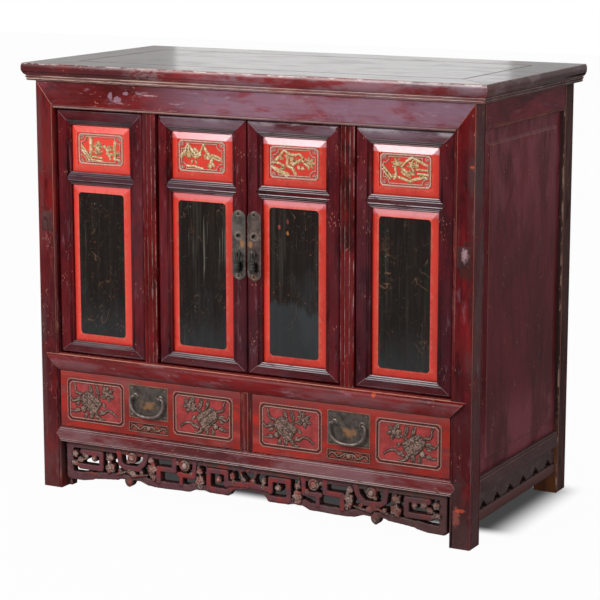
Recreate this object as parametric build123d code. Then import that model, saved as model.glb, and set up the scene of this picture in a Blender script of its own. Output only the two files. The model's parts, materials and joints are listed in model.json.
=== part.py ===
from build123d import *
from math import cos, radians, sqrt
import os

# Low wedding cabinet: framed top, four posts, two drawers under a waist rail,
# a pair of pintle-hung doors between two lift-out leaves, openwork apron.
# Millimetres. +X to the right seen from the front, +Y to the back, +Z up.
# The origin is on the floor, under the middle of the cabinet's box.

# ---- Carcase
BODY_W = 1080.0        # across the outer faces of the posts
BODY_D = 550.0         # from the front to the back faces of the posts
HEIGHT = 985.0
POST_W = 56.0
POST_D = 53.0
REBATE_W = 8.0         # step in a front post that the leaves and drawer fronts lap
RAIL_D = 50.0          # front rails, front to back
HEAD_H = 61.0
SILL_TOP = 322.0
SILL_H = 40.0
SILL_PROUD = 8.0       # the waist rail's pillow stands this far in front of the posts
SILL_INSET = 10.0      # from the post's outer face to the pillow's long point
BASE_TOP = 148.0
BASE_H = 36.0
BASE_POINT = 12.0      # length of the pointed shoulders of the bottom rail
SKIN_D = 16.0          # thickness of the mitred front skin of the head rail
TENON_T = 12.0
TENON_APART = 2.0      # wood left between the tenons that meet in a post
SIDE_TENON_L = 15.0
TENON_SHOULDER = 10.0  # above and below a rail's tenon
BEAD_W = 7.2           # bead along the inner arrises of posts and rails
BEAD_QUIRK = 2.2       # depth of the groove beside a bead
REAR_RAIL_T = 30.0
REAR_RAIL_INSET = 8.0  # from the back of the posts to the rear rails
BACK_T = 12.0
SIDE_RAIL_T = 34.0
SIDE_EDGE_IN = 10.0    # from the posts' outer face to the edge of a side panel
SIDE_EDGE_T = 8.0
SIDE_RAISE = 6.0       # the side panel's field stands out from its edge
SIDE_MARGIN = 34.0     # bevelled margin round the field
SIDE_SLOPE = 6.0       # width of the slope at the edge of the field
GROOVE = 6.0           # depth of the grooves that hold panels
PLAY = 0.5             # room for a panel to move in its groove

# ---- Top
SLAB_T = 40.0
SLAB_SIDE = 30.0       # overhang past the posts at each side
SLAB_FRONT = 15.0      # overhang at the front; the back is flush
SLAB_TAPER = 12.0      # the moulded edge draws in by this much at the bottom
TOP_FRAME_W = 100.0
TOP_PANEL_T = 16.0
TOP_BATTEN_W = 45.0
TOP_BATTEN_X = 190.0   # from the middle to each batten
POST_TENON = 20.0      # square tenon on each post, into the top
POST_TENON_H = 18.0

# ---- Leaves and doors
RECESS = 8.0           # leaves lie this far behind the posts' front
LEAF_T = 24.0
LEAF_GAP = 1.5         # between a leaf and its neighbour
MEET_GAP = 2.0         # between the two doors
END_GAP = 2.0          # above and below a leaf
REED_W = 33.0          # reeded posts between the doors and the outer leaves
REED_BACK = 4.0        # reeded posts lie this far behind the posts' front
STILE_W = 36.0
TOP_RAIL = 33.0
MID_RAIL = 28.5
LOW_RAIL = 29.0
UPPER_H = 106.5        # height of the carved upper panel's opening
EDGE_ROUND = 6.0       # rounding of a leaf's outer arris
LEAF_SKIN = 4.5        # mitred face of a leaf's corner joints, over a square-ended body
PANEL_TONGUE = 6.0
PANEL_SET = 9.0        # from the leaf's face to the panel's edge
PANEL_RAISE = 5.0
PANEL_BORDER = 16.0    # sloping red border round each panel's field
CARVE_SINK = 2.0       # sunk ground of the carved upper panels
CARVE_RIM = 5.0
CARVE_NOTCH = 14.0     # notched corners of the carved ground
PINTLE_R = 7.0
PINTLE_PLAY = 0.4
SOCKET_DEEP = 14.0
TONGUE_W = 60.0        # tongues that hold an outer leaf in sill and head rail
TONGUE_T = 8.0
SEAT = 0.3             # running gap of what rests on or turns in something

# ---- Drawers
DIVIDER_W = 28.0
DRAWER_GAP = 1.5
DRAWER_RECESS = 2.0
DRAWER_FRONT_T = 22.0
DRAWER_LIP = 10.0      # the front runs past the box at each end
DRAWER_SIDE_T = 10.0
DRAWER_BOX_H = 108.0
DRAWER_L = 420.0
DRAWER_BOTTOM_T = 7.0
DRAWER_BOTTOM_UP = 6.0
CARVED_W = 148.0       # framed carvings on the drawer fronts
CARVED_H = 94.0
CARVED_OUT = 142.0     # from the middle of the front to each carving's middle
CARVED_CLIP = 12.0
LINE_W = 2.4           # incised line of the frames
LINE_DEEP = 1.6
RUNNER_W = 26.0
RUNNER_H = 20.0
PARTITION_T = 12.0

# ---- Inside
FLOOR_T = 14.0
SHELF_TOP = 600.0
SHELF_BACK = 60.0      # from the posts' front to the shelf's front edge
BEARER = 20.0

# ---- Aprons
APRON_T = 18.0
APRON_BACK = 10.0      # from the posts' front to the apron's face
SIDE_APRON_T = 16.0
SIDE_APRON_IN = 8.0
SIDE_APRON_LOW = 46.0  # underside of the rounded bar
SIDE_BAR_D = 24.0
CLOUD_R = 9.0
CLOUDS = 6

# ---- Metalwork
PLATE_W = 34.0
PLATE_L = 155.0
PLATE_T = 1.6
PLATE_MID = 609.0      # height of the door plates' middle
PLATE_EDGE = 1.2       # from the plate to the door's free edge
PULL_Z = 597.0
PULL_OUT = 8.8         # from the plate to the axis of the drop pull
PULL_WIRE_R = 1.8
PULL_HALF = 6.0        # half the width of the pull's stirrup
PULL_L = 47.0
BARREL_R = 7.4
EYE_R = 4.4
EYE_HOLE = 2.2
STUD_Z = (678.0, 541.0)
STUD_R = 6.5
STUD_H = 3.0
STAPLE_Z = 631.0       # eye for the bar of a padlock
STAPLE_OUT = 7.0
STAPLE_R = 5.6
STAPLE_HOLE = 3.0
DRAWER_PLATE_W = 98.0
DRAWER_PLATE_H = 72.0
DRAWER_PLATE_MID = 230.0
DRAWER_PLATE_T = 1.5
BAIL_HALF = 33.0       # from the middle to each eye
BAIL_OUT = 8.0         # from the plate to the bail's axis
BAIL_R = 2.2
BAIL_HOLE = 2.5
BAIL_UP = 13.0         # from the plate's middle up to the bail's axis
BAIL_DROP = 48.0
BAIL_EYE_R = 4.6
STRIP_W = 104.0        # carved strip under each drawer plate
STRIP_H = 22.0
STRIP_LOW = 159.0

# ---- Inlaid repairs in the front posts
PATCH_H = 46.0
PATCH_W = 31.0
PATCH_LOW = 603.0
PATCH_IN = 7.0         # from the post's outer face
PATCH_T = 4.0

# ---- Derived places
HALF_W = BODY_W / 2
Y_FRONT = (SLAB_FRONT - BODY_D) / 2
Y_BACK = Y_FRONT + BODY_D
Y_CLEAR = Y_FRONT - 2 * SILL_PROUD   # in front of every rail's face
BODY_TOP = HEIGHT - SLAB_T
HEAD_LOW = BODY_TOP - HEAD_H
SILL_LOW = SILL_TOP - SILL_H
BASE_LOW = BASE_TOP - BASE_H
POST_IN = HALF_W - POST_W            # inner face of a post
OPEN_HALF = POST_IN + REBATE_W       # half the opening at the front
REBATE_D = RECESS + LEAF_T
TENON_Y = REBATE_D + 2.0
TENON_L = POST_W - SIDE_RAIL_T - TENON_APART
LEAF_Y = Y_FRONT + RECESS
LEAF_W = (2 * OPEN_HALF - 2 * REED_W - 6 * LEAF_GAP - MEET_GAP) / 4
LEAF_LOW = SILL_TOP + END_GAP
LEAF_TOP = HEAD_LOW - END_GAP
DOOR_X = MEET_GAP / 2 + LEAF_W       # outer edge of a door, from the middle
REED_X = DOOR_X + LEAF_GAP
LEAF_X = REED_X + REED_W + LEAF_GAP + LEAF_W
PIVOT = LEAF_T / 2                   # hinge line, from the stile's edge and face
UPPER_TOP = LEAF_TOP - TOP_RAIL
UPPER_LOW = UPPER_TOP - UPPER_H
LOWER_TOP = UPPER_LOW - MID_RAIL
LOWER_LOW = LEAF_LOW + LOW_RAIL
SIDE_Y0 = Y_FRONT + POST_D
SIDE_Y1 = Y_BACK - POST_D
REAR_Y1 = Y_BACK - REAR_RAIL_INSET
REAR_Y0 = REAR_Y1 - REAR_RAIL_T
PANEL_IN = SIDE_EDGE_IN + SIDE_EDGE_T   # inner face of a side panel, from outside
INNER_HALF = HALF_W - PANEL_IN
DRAWER_Y = Y_FRONT + DRAWER_RECESS
DRAWER_LOW = BASE_TOP + DRAWER_GAP
DRAWER_HIGH = SILL_LOW - DRAWER_GAP
DRAWER_MID = (OPEN_HALF + DIVIDER_W / 2) / 2
DRAWER_HALF = (OPEN_HALF - DIVIDER_W / 2) / 2 - DRAWER_GAP


def block(x0, x1, y0, y1, z0, z1):
    """Box between two corners."""
    middle = Pos((x0 + x1) / 2, (y0 + y1) / 2, (z0 + z1) / 2)
    return middle * Box(x1 - x0, y1 - y0, z1 - z0)


def outline(*steps):
    """Face from corner points; a step that is a pair of points is an arc (through, end)."""
    here = steps[0]
    edges = []
    for step in steps[1:]:
        if isinstance(step[0], tuple):
            edges.append(ThreePointArc(here, step[0], step[1]))
            here = step[1]
        else:
            edges.append(Line(here, step))
            here = step
    edges.append(Line(here, steps[0]))
    return make_face(edges)


def along_x(face, x0, x1):
    """Extrude a face drawn in (y, z) from x0 to x1."""
    plane = Plane(origin=(x0, 0, 0), x_dir=(0, 1, 0), z_dir=(1, 0, 0))
    return extrude(plane * face, x1 - x0, dir=(1, 0, 0))


def along_y(face, y0, y1):
    """Extrude a face drawn in (x, z) from y0 to y1."""
    plane = Plane(origin=(0, y0, 0), x_dir=(1, 0, 0), z_dir=(0, -1, 0))
    return extrude(plane * face, y1 - y0, dir=(0, 1, 0))


def along_z(face, z0, z1):
    """Extrude a face drawn in (x, y) from z0 to z1."""
    return extrude(Pos(0, 0, z0) * face, z1 - z0, dir=(0, 0, 1))


def prism(points, y0, y1):
    """Plate with straight sides, its outline given in (x, z)."""
    return along_y(Polygon(*points, align=None), y0, y1)


def rod(start, end, radius):
    """Round bar between two points."""
    axis = Vector(*end) - Vector(*start)
    return extrude(Plane(origin=start, z_dir=axis) * Circle(radius), axis.length)


def turned(profile, x, y, z):
    """Turned piece on the axis that points forwards from (x, y, z); profile in (radius, out)."""
    return Pos(x, y, z) * Rot(90, 0, 0) * revolve(Plane.XZ * profile, Axis.Z)


def flipped(shape):
    """The same piece for the right-hand side."""
    return mirror(shape, about=Plane.YZ)


def write(name, *solids):
    """Write one node; its pieces stay separate solids."""
    pieces = [solid for shape in solids for solid in shape.solids()]
    shape = pieces[0] if len(pieces) == 1 else Compound(pieces)
    export_step(shape, f"parts/{name}.step")


# ---------------------------------------------------------------- carcase

def rail_tenons(y0, low, high):
    """Both tenons of a rail that runs from post to post."""
    reach = POST_IN + TENON_L
    return block(-reach, reach, y0, y0 + TENON_T, low + TENON_SHOULDER, high - TENON_SHOULDER)


def side_tenons(low, high):
    """Tenons of a left side rail, into the front and the rear post."""
    x1 = -HALF_W + SIDE_RAIL_T
    return block(x1 - TENON_T, x1, SIDE_Y0 - SIDE_TENON_L, SIDE_Y1 + SIDE_TENON_L,
                 low + TENON_SHOULDER, high - TENON_SHOULDER)


def front_fill(low, high, y0):
    """Space of a front rail between the posts, rebates included."""
    lapped = block(-OPEN_HALF, OPEN_HALF, y0, Y_FRONT + REBATE_D, low, high)
    return lapped + block(-POST_IN, POST_IN, y0, Y_FRONT + RAIL_D, low, high)


def head_mitre(past=0.0):
    """Mitred face of the head rail, long above and short below; it may run on past both edges."""
    slope = (HALF_W - OPEN_HALF) / HEAD_H
    top, low = HALF_W + slope * past, OPEN_HALF - slope * past
    return prism([(-top, BODY_TOP + past), (top, BODY_TOP + past),
                  (low, HEAD_LOW - past), (-low, HEAD_LOW - past)], Y_CLEAR, Y_FRONT + SKIN_D)


def base_points():
    """Pointed shoulders of the bottom rail, let into the posts' faces."""
    middle = (BASE_LOW + BASE_TOP) / 2
    tip = OPEN_HALF + BASE_POINT
    return prism([(-OPEN_HALF, BASE_LOW), (-tip, middle), (-OPEN_HALF, BASE_TOP),
                  (OPEN_HALF, BASE_TOP), (tip, middle), (OPEN_HALF, BASE_LOW)],
                 Y_CLEAR, Y_FRONT + RECESS)


def pintle_axes():
    """Hinge lines of the left and the right door."""
    x = DOOR_X - PIVOT
    return [(-x, LEAF_Y + PIVOT), (x, LEAF_Y + PIVOT)]


def sockets(z0, z1):
    """Round sockets for the door pintles."""
    return [Pos(x, y, (z0 + z1) / 2) * Cylinder(PINTLE_R + PINTLE_PLAY, z1 - z0)
            for x, y in pintle_axes()]


def leaf_slots(z0, z1):
    """Slots for the tongues of the outer leaves."""
    y0 = LEAF_Y + (LEAF_T - TONGUE_T) / 2
    middle = LEAF_X - LEAF_W / 2
    left = block(-middle - TONGUE_W / 2 - PLAY, -middle + TONGUE_W / 2 + PLAY,
                 y0, y0 + TONGUE_T, z0, z1)
    return [left, flipped(left)]


def head_rail_front():
    y = Y_FRONT
    low = HEAD_LOW
    face = outline((y, BODY_TOP), (y, low + BEAD_W), (y + BEAD_QUIRK, low + BEAD_W - 0.8),
                   ((y, low + BEAD_W / 2 - 0.3), (y + 2.8, low)),
                   (y + RAIL_D, low), (y + RAIL_D, BODY_TOP))
    room = head_mitre() + front_fill(low, BODY_TOP, Y_CLEAR)
    rail = along_x(face, -HALF_W, HALF_W) & room
    rail += rail_tenons(y + TENON_Y, low, BODY_TOP)
    for cut in sockets(low, low + SOCKET_DEEP) + leaf_slots(low, low + SOCKET_DEEP):
        rail -= cut
    return rail


def sill_skin():
    """Pointed ends of the waist rail, which lie over the posts."""
    tip = HALF_W - SILL_INSET
    return prism([(-tip, SILL_TOP), (tip, SILL_TOP),
                  (tip - SILL_H, SILL_LOW), (-tip + SILL_H, SILL_LOW)], Y_CLEAR, Y_FRONT)


def sill_rail():
    y = Y_FRONT
    pillow = outline((y + 3, SILL_TOP),
                     ((y - SILL_PROUD, (SILL_TOP + SILL_LOW) / 2), (y, SILL_LOW)),
                     (y + RAIL_D, SILL_LOW), (y + RAIL_D, SILL_TOP))
    room = sill_skin() + front_fill(SILL_LOW, SILL_TOP, y)
    rail = along_x(pillow, -HALF_W, HALF_W) & room
    rail += rail_tenons(y + TENON_Y, SILL_LOW, SILL_TOP)
    for cut in sockets(SILL_TOP - SOCKET_DEEP, SILL_TOP) + leaf_slots(SILL_TOP - SOCKET_DEEP, SILL_TOP):
        rail -= cut
    return rail


def bottom_rail_front():
    y = Y_FRONT
    half = BEAD_W / 2
    face = outline((y + 1, BASE_TOP), ((y, BASE_TOP - half / 2), (y + 1, BASE_TOP - half)),
                   ((y, BASE_TOP - 1.5 * half), (y + 1, BASE_TOP - BEAD_W)),
                   (y, BASE_TOP - BEAD_W - 1), (y, BASE_LOW + BEAD_W + 1),
                   (y + 1, BASE_LOW + BEAD_W), ((y, BASE_LOW + 1.5 * half), (y + 1, BASE_LOW + half)),
                   ((y, BASE_LOW + half / 2), (y + 1, BASE_LOW)),
                   (y + RAIL_D, BASE_LOW), (y + RAIL_D, BASE_TOP))
    rail = along_x(face, -HALF_W, HALF_W) & (base_points() + front_fill(BASE_LOW, BASE_TOP, Y_CLEAR))
    return rail + rail_tenons(y + TENON_Y, BASE_LOW, BASE_TOP)


def rear_rail(low, high):
    rail = block(-POST_IN, POST_IN, REAR_Y0, REAR_Y1, low, high)
    rail += rail_tenons(REAR_Y0 + (REAR_RAIL_T - TENON_T) / 2, low, high)
    return rail - back_rebates()


def back_slot(low, high):
    """Space of a back board, grooves included."""
    y0 = (REAR_Y0 + REAR_Y1 - BACK_T) / 2
    return block(-POST_IN - GROOVE, POST_IN + GROOVE, y0, y0 + BACK_T, low - GROOVE, high + GROOVE)


def back_rebates():
    """Grooves for the back boards, above and below the rear sill."""
    return back_slot(SILL_TOP, HEAD_LOW) + back_slot(BASE_TOP, SILL_LOW)


def side_slot(play=0.0):
    """Space of the left side panel's edge, grooves included."""
    reach = GROOVE - play
    return block(-HALF_W + SIDE_EDGE_IN, -INNER_HALF, SIDE_Y0 - reach, SIDE_Y1 + reach,
                 BASE_TOP - reach, HEAD_LOW + reach)


def side_rail(low, high, bead_low):
    """Left side rail with its bead on the edge next to the panel."""
    x = -HALF_W
    near, way = (low, 1) if bead_low else (high, -1)
    far = high if bead_low else low
    face = outline((x, far), (x, near + way * BEAD_W), (x + BEAD_QUIRK, near + way * (BEAD_W - 0.8)),
                   ((x, near + way * (BEAD_W / 2 - 0.3)), (x + 2.8, near)),
                   (x + SIDE_RAIL_T, near), (x + SIDE_RAIL_T, far))
    return along_y(face, SIDE_Y0, SIDE_Y1) + side_tenons(low, high) - side_slot()


def side_panel():
    """Left side panel: grooved edge and a raised field."""
    edge = side_slot(PLAY)
    x0 = -HALF_W + SIDE_EDGE_IN
    margin = SIDE_MARGIN - SIDE_SLOPE
    depth = SIDE_Y1 - SIDE_Y0
    height = HEAD_LOW - BASE_TOP
    plane = Plane(origin=(x0, (SIDE_Y0 + SIDE_Y1) / 2, (HEAD_LOW + BASE_TOP) / 2),
                  x_dir=(0, 1, 0), z_dir=(1, 0, 0))
    foot = plane * Rectangle(depth - 2 * margin, height - 2 * margin)
    face = plane.offset(-SIDE_RAISE) * Rectangle(depth - 2 * SIDE_MARGIN, height - 2 * SIDE_MARGIN)
    return edge + loft([foot.face(), face.face()])


def front_post():
    """Left front post: beaded arrises, rebate, mitre at the head, mortises."""
    bead = BEAD_W / 2 - 0.3
    face = POST_W - REBATE_W
    shape = outline((0, 0), (face - BEAD_W, 0), (face - BEAD_W + 0.8, BEAD_QUIRK),
                    ((face - bead, 0), (face, 2.8)), (face, REBATE_D), (POST_W, REBATE_D),
                    (POST_W, POST_D), (2.8, POST_D), ((0, POST_D - bead), (BEAD_QUIRK, POST_D - BEAD_W + 0.8)),
                    (0, POST_D - BEAD_W))
    post = along_z(Pos(-HALF_W, Y_FRONT) * shape, 0, BODY_TOP)
    post -= head_mitre(past=2.0)
    post -= base_points()
    for low, high in ((HEAD_LOW, BODY_TOP), (SILL_LOW, SILL_TOP), (BASE_LOW, BASE_TOP)):
        post -= rail_tenons(Y_FRONT + TENON_Y, low, high)
    for low, high in ((HEAD_LOW, BODY_TOP), (BASE_LOW, BASE_TOP)):
        post -= side_tenons(low, high)
    return post - side_slot() + post_tenon(Y_FRONT + POST_D / 2)


def rear_post():
    """Left rear post."""
    bead = BEAD_W / 2 - 0.3
    shape = outline((0, BEAD_W), (BEAD_QUIRK, BEAD_W - 0.8), ((0, bead), (2.8, 0)),
                    (POST_W, 0), (POST_W, POST_D), (0, POST_D))
    post = along_z(Pos(-HALF_W, SIDE_Y1) * shape, 0, BODY_TOP)
    tenon_y = REAR_Y0 + (REAR_RAIL_T - TENON_T) / 2
    for low, high in ((HEAD_LOW, BODY_TOP), (SILL_LOW, SILL_TOP), (BASE_LOW, BASE_TOP)):
        post -= rail_tenons(tenon_y, low, high)
    for low, high in ((HEAD_LOW, BODY_TOP), (BASE_LOW, BASE_TOP)):
        post -= side_tenons(low, high)
    return post - back_rebates() - side_slot() + post_tenon(Y_BACK - POST_D / 2)


def post_tenon(y):
    """Square tenon of a left post, into the top."""
    x = -HALF_W + POST_W / 2
    half = POST_TENON / 2
    return block(x - half, x + half, y - half, y + half, BODY_TOP, BODY_TOP + POST_TENON_H)


def patch():
    """Piece of wood let into the left front post."""
    x0 = -HALF_W + PATCH_IN
    return block(x0, x0 + PATCH_W, Y_FRONT, Y_FRONT + PATCH_T, PATCH_LOW, PATCH_LOW + PATCH_H)


def reeded_post():
    """Left reeded post: two beads with a fillet between them."""
    bead = REED_W / 3.4
    deep = REED_BACK + 3
    y1 = Y_FRONT + REBATE_D
    x1 = -REED_X
    x0 = x1 - REED_W
    face = outline((x0, Y_FRONT + deep), ((x0 + bead / 2, Y_FRONT + REED_BACK), (x0 + bead, Y_FRONT + deep)),
                   (x0 + bead + 1, Y_FRONT + REED_BACK + 1.5), (x1 - bead - 1, Y_FRONT + REED_BACK + 1.5),
                   (x1 - bead, Y_FRONT + deep),
                   ((x1 - bead / 2, Y_FRONT + REED_BACK), (x1, Y_FRONT + deep)),
                   (x1, y1), (x0, y1))
    return along_z(face, SILL_TOP, HEAD_LOW)


# ---------------------------------------------------------------- top

def slab_edge(inner, outer, sign):
    """Cross-section of a top frame member; sign points outwards."""
    low = BODY_TOP
    draw = outer - sign * SLAB_TAPER
    return outline((inner, low), (draw, low), ((draw + sign * 3, low + 3), (draw + sign * 1.5, low + 6)),
                   ((draw + sign * 4.5, low + 9), (draw + sign * 3, low + 12)),
                   (draw + sign * 5.5, low + 13),
                   ((outer, low + SLAB_T * 0.66), (outer - sign * 3, HEIGHT)),
                   (inner, HEIGHT))


TOP_X = HALF_W + SLAB_SIDE
TOP_Y0 = Y_FRONT - SLAB_FRONT
TOP_Y1 = Y_BACK


def top_panel_space(play=0.0):
    """Board that closes the top frame, with the tongues that enter its grooves."""
    x = TOP_X - TOP_FRAME_W
    y0 = TOP_Y0 + TOP_FRAME_W
    y1 = TOP_Y1 - TOP_FRAME_W
    reach = GROOVE - play
    low = HEIGHT - TOP_PANEL_T
    tongue_high = low + TOP_PANEL_T / 2
    board = block(-x, x, y0, y1, low, HEIGHT)
    return board + block(-x - reach, x + reach, y0 - reach, y1 + reach, low, tongue_high)


def top_quarter(y_out, y_in):
    """Plan of a long member, mitred at both ends."""
    return Polygon((-TOP_X, y_out), (TOP_X, y_out),
                   (TOP_X - TOP_FRAME_W, y_in), (-TOP_X + TOP_FRAME_W, y_in), align=None)


def mortised(member):
    """A top member with the mortises of the posts and the panel's groove."""
    for y in (Y_FRONT + POST_D / 2, Y_BACK - POST_D / 2):
        member = member - post_tenon(y) - flipped(post_tenon(y))
    return member - top_panel_space()


def top_front():
    bar = along_x(slab_edge(TOP_Y0 + TOP_FRAME_W, TOP_Y0, -1), -TOP_X, TOP_X)
    return mortised(bar & along_z(top_quarter(TOP_Y0, TOP_Y0 + TOP_FRAME_W), 0, HEIGHT))


def top_back():
    y0 = TOP_Y1 - TOP_FRAME_W
    bar = block(-TOP_X, TOP_X, y0, TOP_Y1, BODY_TOP, HEIGHT)
    return mortised(bar & along_z(top_quarter(TOP_Y1, y0), 0, HEIGHT) & end_limits())


def end_limits():
    """Moulded end profile, which the back member shows at its ends."""
    x = TOP_X - TOP_FRAME_W
    left = along_y(slab_edge(-x, -TOP_X, -1), TOP_Y0, TOP_Y1)
    middle = block(-x, x, TOP_Y0, TOP_Y1, BODY_TOP, HEIGHT)
    return left + middle + flipped(left)


def top_end():
    """Left end member."""
    x = TOP_X - TOP_FRAME_W
    bar = along_y(slab_edge(-x, -TOP_X, -1), TOP_Y0, TOP_Y1)
    plan = Polygon((-TOP_X, TOP_Y0), (-x, TOP_Y0 + TOP_FRAME_W),
                   (-x, TOP_Y1 - TOP_FRAME_W), (-TOP_X, TOP_Y1), align=None)
    return mortised(bar & along_z(plan, 0, HEIGHT))


def top_batten(x):
    half = TOP_BATTEN_W / 2
    return block(x - half, x + half, TOP_Y0 + TOP_FRAME_W, TOP_Y1 - TOP_FRAME_W,
                 BODY_TOP, HEIGHT - TOP_PANEL_T)


# ---------------------------------------------------------------- leaves

def leaf_bar(width, corner):
    """Section of a leaf's bar, from its outer edge (0) inwards, face at y = 0."""
    chord = corner * (1 - cos(radians(45)))
    step = width - 10
    return outline((0, LEAF_T), (0, corner), ((chord, chord), (corner, 0)), (step, 0), (step + 0.6, 1.5),
                   ((step + 2.8, 0.2), (step + 5, 1.8)), ((step + 7.5, 2), (width, 4.5)),
                   (width, LEAF_T))


def leaf_groove(low, high):
    """Groove round one opening of a leaf."""
    return block(STILE_W - GROOVE, LEAF_W - STILE_W + GROOVE, PANEL_SET, PANEL_SET + PANEL_TONGUE,
                 low - GROOVE, high + GROOVE)


def mid_rail_space():
    """Outline of the middle rail, pointed at both ends."""
    middle = (UPPER_LOW + LOWER_TOP) / 2
    point = MID_RAIL / 2
    inner = STILE_W
    far = LEAF_W - STILE_W
    return prism([(inner, LOWER_TOP), (inner - point, middle), (inner, UPPER_LOW),
                  (far, UPPER_LOW), (far + point, middle), (far, LOWER_TOP)], -1, LEAF_T + 1)


def mid_rail():
    step = 8.0
    y = PANEL_SET / 2
    profile = outline((y, LOWER_TOP), ((2, LOWER_TOP + 2.5), (1.8, LOWER_TOP + 5)),
                      ((0.2, LOWER_TOP + 6.5), (1.5, LOWER_TOP + step)), (2.5, LOWER_TOP + step + 0.6),
                      (2.5, UPPER_LOW - step - 0.6), (1.5, UPPER_LOW - step),
                      ((0.2, UPPER_LOW - 6.5), (1.8, UPPER_LOW - 5)),
                      ((2, UPPER_LOW - 2.5), (y, UPPER_LOW)), (LEAF_T, UPPER_LOW), (LEAF_T, LOWER_TOP))
    return along_x(profile, 0, LEAF_W) & mid_rail_space()


def stile(corner, mirrored=False):
    """A stile with mitred ends; the mirrored one is at the far edge."""
    bar = along_z(leaf_bar(STILE_W, corner), LEAF_LOW, LEAF_TOP)
    face = prism([(0, LEAF_LOW), (0, LEAF_TOP), (STILE_W, UPPER_TOP), (STILE_W, LOWER_LOW)], -1, LEAF_SKIN)
    bar &= face + block(0, STILE_W, LEAF_SKIN, LEAF_T, LEAF_LOW, LEAF_TOP)
    if mirrored:
        bar = Pos(LEAF_W, 0, 0) * flipped(bar)
    return bar - mid_rail_space()


def cross_rail(width, edge, way):
    """Top or bottom rail of a leaf; way is +1 for the bottom one."""
    plane = Plane(origin=(0, 0, edge), x_dir=(0, 0, way), z_dir=(-way, 0, 0))
    bar = extrude(plane * leaf_bar(width, EDGE_ROUND), LEAF_W, dir=(1, 0, 0))
    inner = edge + way * width
    far = LEAF_W - STILE_W
    face = prism([(0, edge), (LEAF_W, edge), (far, inner), (STILE_W, inner)], -1, LEAF_SKIN)
    return bar & (face + block(STILE_W, far, LEAF_SKIN, LEAF_T, min(edge, inner), max(edge, inner)))


def leaf_envelope(corner):
    """Plan of a leaf, its hinge arris rounded about the hinge line."""
    chord = corner * (1 - cos(radians(45)))
    plan = outline((0, LEAF_T), (0, corner), ((chord, chord), (corner, 0)), (LEAF_W, 0), (LEAF_W, LEAF_T))
    return along_z(plan, LEAF_LOW, LEAF_TOP)


def leaf_frame(hinged):
    """Bars of one leaf in its own frame: hinge or outer edge at x = 0, face at y = 0."""
    corner = PIVOT if hinged else EDGE_ROUND
    bars = [stile(corner), stile(EDGE_ROUND, mirrored=True),
            cross_rail(TOP_RAIL, LEAF_TOP, -1), cross_rail(LOW_RAIL, LEAF_LOW, 1), mid_rail()]
    grooves = leaf_groove(UPPER_LOW, UPPER_TOP) + leaf_groove(LOWER_LOW, LOWER_TOP)
    bars = [(bar & leaf_envelope(corner)) - grooves for bar in bars]
    reach = END_GAP + SOCKET_DEEP - SEAT
    if hinged:
        for z in (LEAF_TOP + reach / 2, LEAF_LOW - reach / 2):
            bars[0] += Pos(PIVOT, PIVOT, z) * Cylinder(PINTLE_R, reach)
    else:
        y0 = (LEAF_T - TONGUE_T) / 2
        x0 = (LEAF_W - TONGUE_W) / 2
        bars[2] += block(x0, x0 + TONGUE_W, y0, y0 + TONGUE_T, LEAF_TOP, LEAF_TOP + reach)
        bars[3] += block(x0, x0 + TONGUE_W, y0, y0 + TONGUE_T, LEAF_LOW - reach, LEAF_LOW)
    return bars


def raised_panel(low, high):
    """Panel of one opening: tongued edge, sloping border, flat field."""
    reach = GROOVE - PLAY
    x0 = STILE_W
    x1 = LEAF_W - STILE_W
    edge = block(x0 - reach, x1 + reach, PANEL_SET, PANEL_SET + PANEL_TONGUE, low - reach, high + reach)
    plane = Plane(origin=((x0 + x1) / 2, PANEL_SET, (low + high) / 2), x_dir=(1, 0, 0), z_dir=(0, -1, 0))
    width = x1 - x0 - 2 * PLAY
    height = high - low - 2 * PLAY
    foot = plane * Rectangle(width, height)
    face = plane.offset(PANEL_RAISE) * Rectangle(width - 2 * PANEL_BORDER, height - 2 * PANEL_BORDER)
    return edge + loft([foot.face(), face.face()])


def notched(x0, x1, z0, z1, notch):
    """Rectangle whose corners step inwards."""
    half = notch / 2
    return [(x0 + notch, z0), (x1 - notch, z0), (x1 - notch, z0 + half), (x1, z0 + notch), (x1, z1 - notch),
            (x1 - notch, z1 - half), (x1 - notch, z1), (x0 + notch, z1), (x0 + notch, z1 - half),
            (x0, z1 - notch), (x0, z0 + notch), (x0 + notch, z0 + half)]


def carved_panel():
    """Upper panel with the sunk ground of its carving."""
    inset = PANEL_BORDER + PLAY + CARVE_RIM
    ground = notched(STILE_W + inset, LEAF_W - STILE_W - inset, UPPER_LOW + inset, UPPER_TOP - inset,
                     CARVE_NOTCH)
    face = PANEL_SET - PANEL_RAISE
    return raised_panel(UPPER_LOW, UPPER_TOP) - prism(ground, face, face + CARVE_SINK)


def placed_leaf(outer_edge, shapes):
    """Left-hand pieces of a leaf, moved to their place in the cabinet."""
    return [Pos(-outer_edge, LEAF_Y, 0) * shape for shape in shapes]


# ---------------------------------------------------------------- metalwork

def eye(x, y, z, out, radius, hole):
    """Necked ball with a cross bore, standing on a plate's face."""
    neck = radius * 0.6
    profile = outline((0, 0), (neck, 0), (neck, out - sqrt(radius ** 2 - neck ** 2)),
                      ((radius, out), (0, out + radius)))
    ball = turned(profile, x, y, z)
    return ball - rod((x - radius, y - out, z), (x + radius, y - out, z), hole)


DOOR_PLATE_X = MEET_GAP / 2 + PLATE_EDGE + PLATE_W / 2
PLATE_FACE = LEAF_Y - PLATE_T
PULL_Y = PLATE_FACE - PULL_OUT


def door_plate():
    """Round-ended plate on the left door."""
    face = Pos(-DOOR_PLATE_X, PLATE_MID) * Rot(0, 0, 90) * SlotOverall(PLATE_L, PLATE_W)
    return along_y(face, PLATE_FACE, LEAF_Y)


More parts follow.
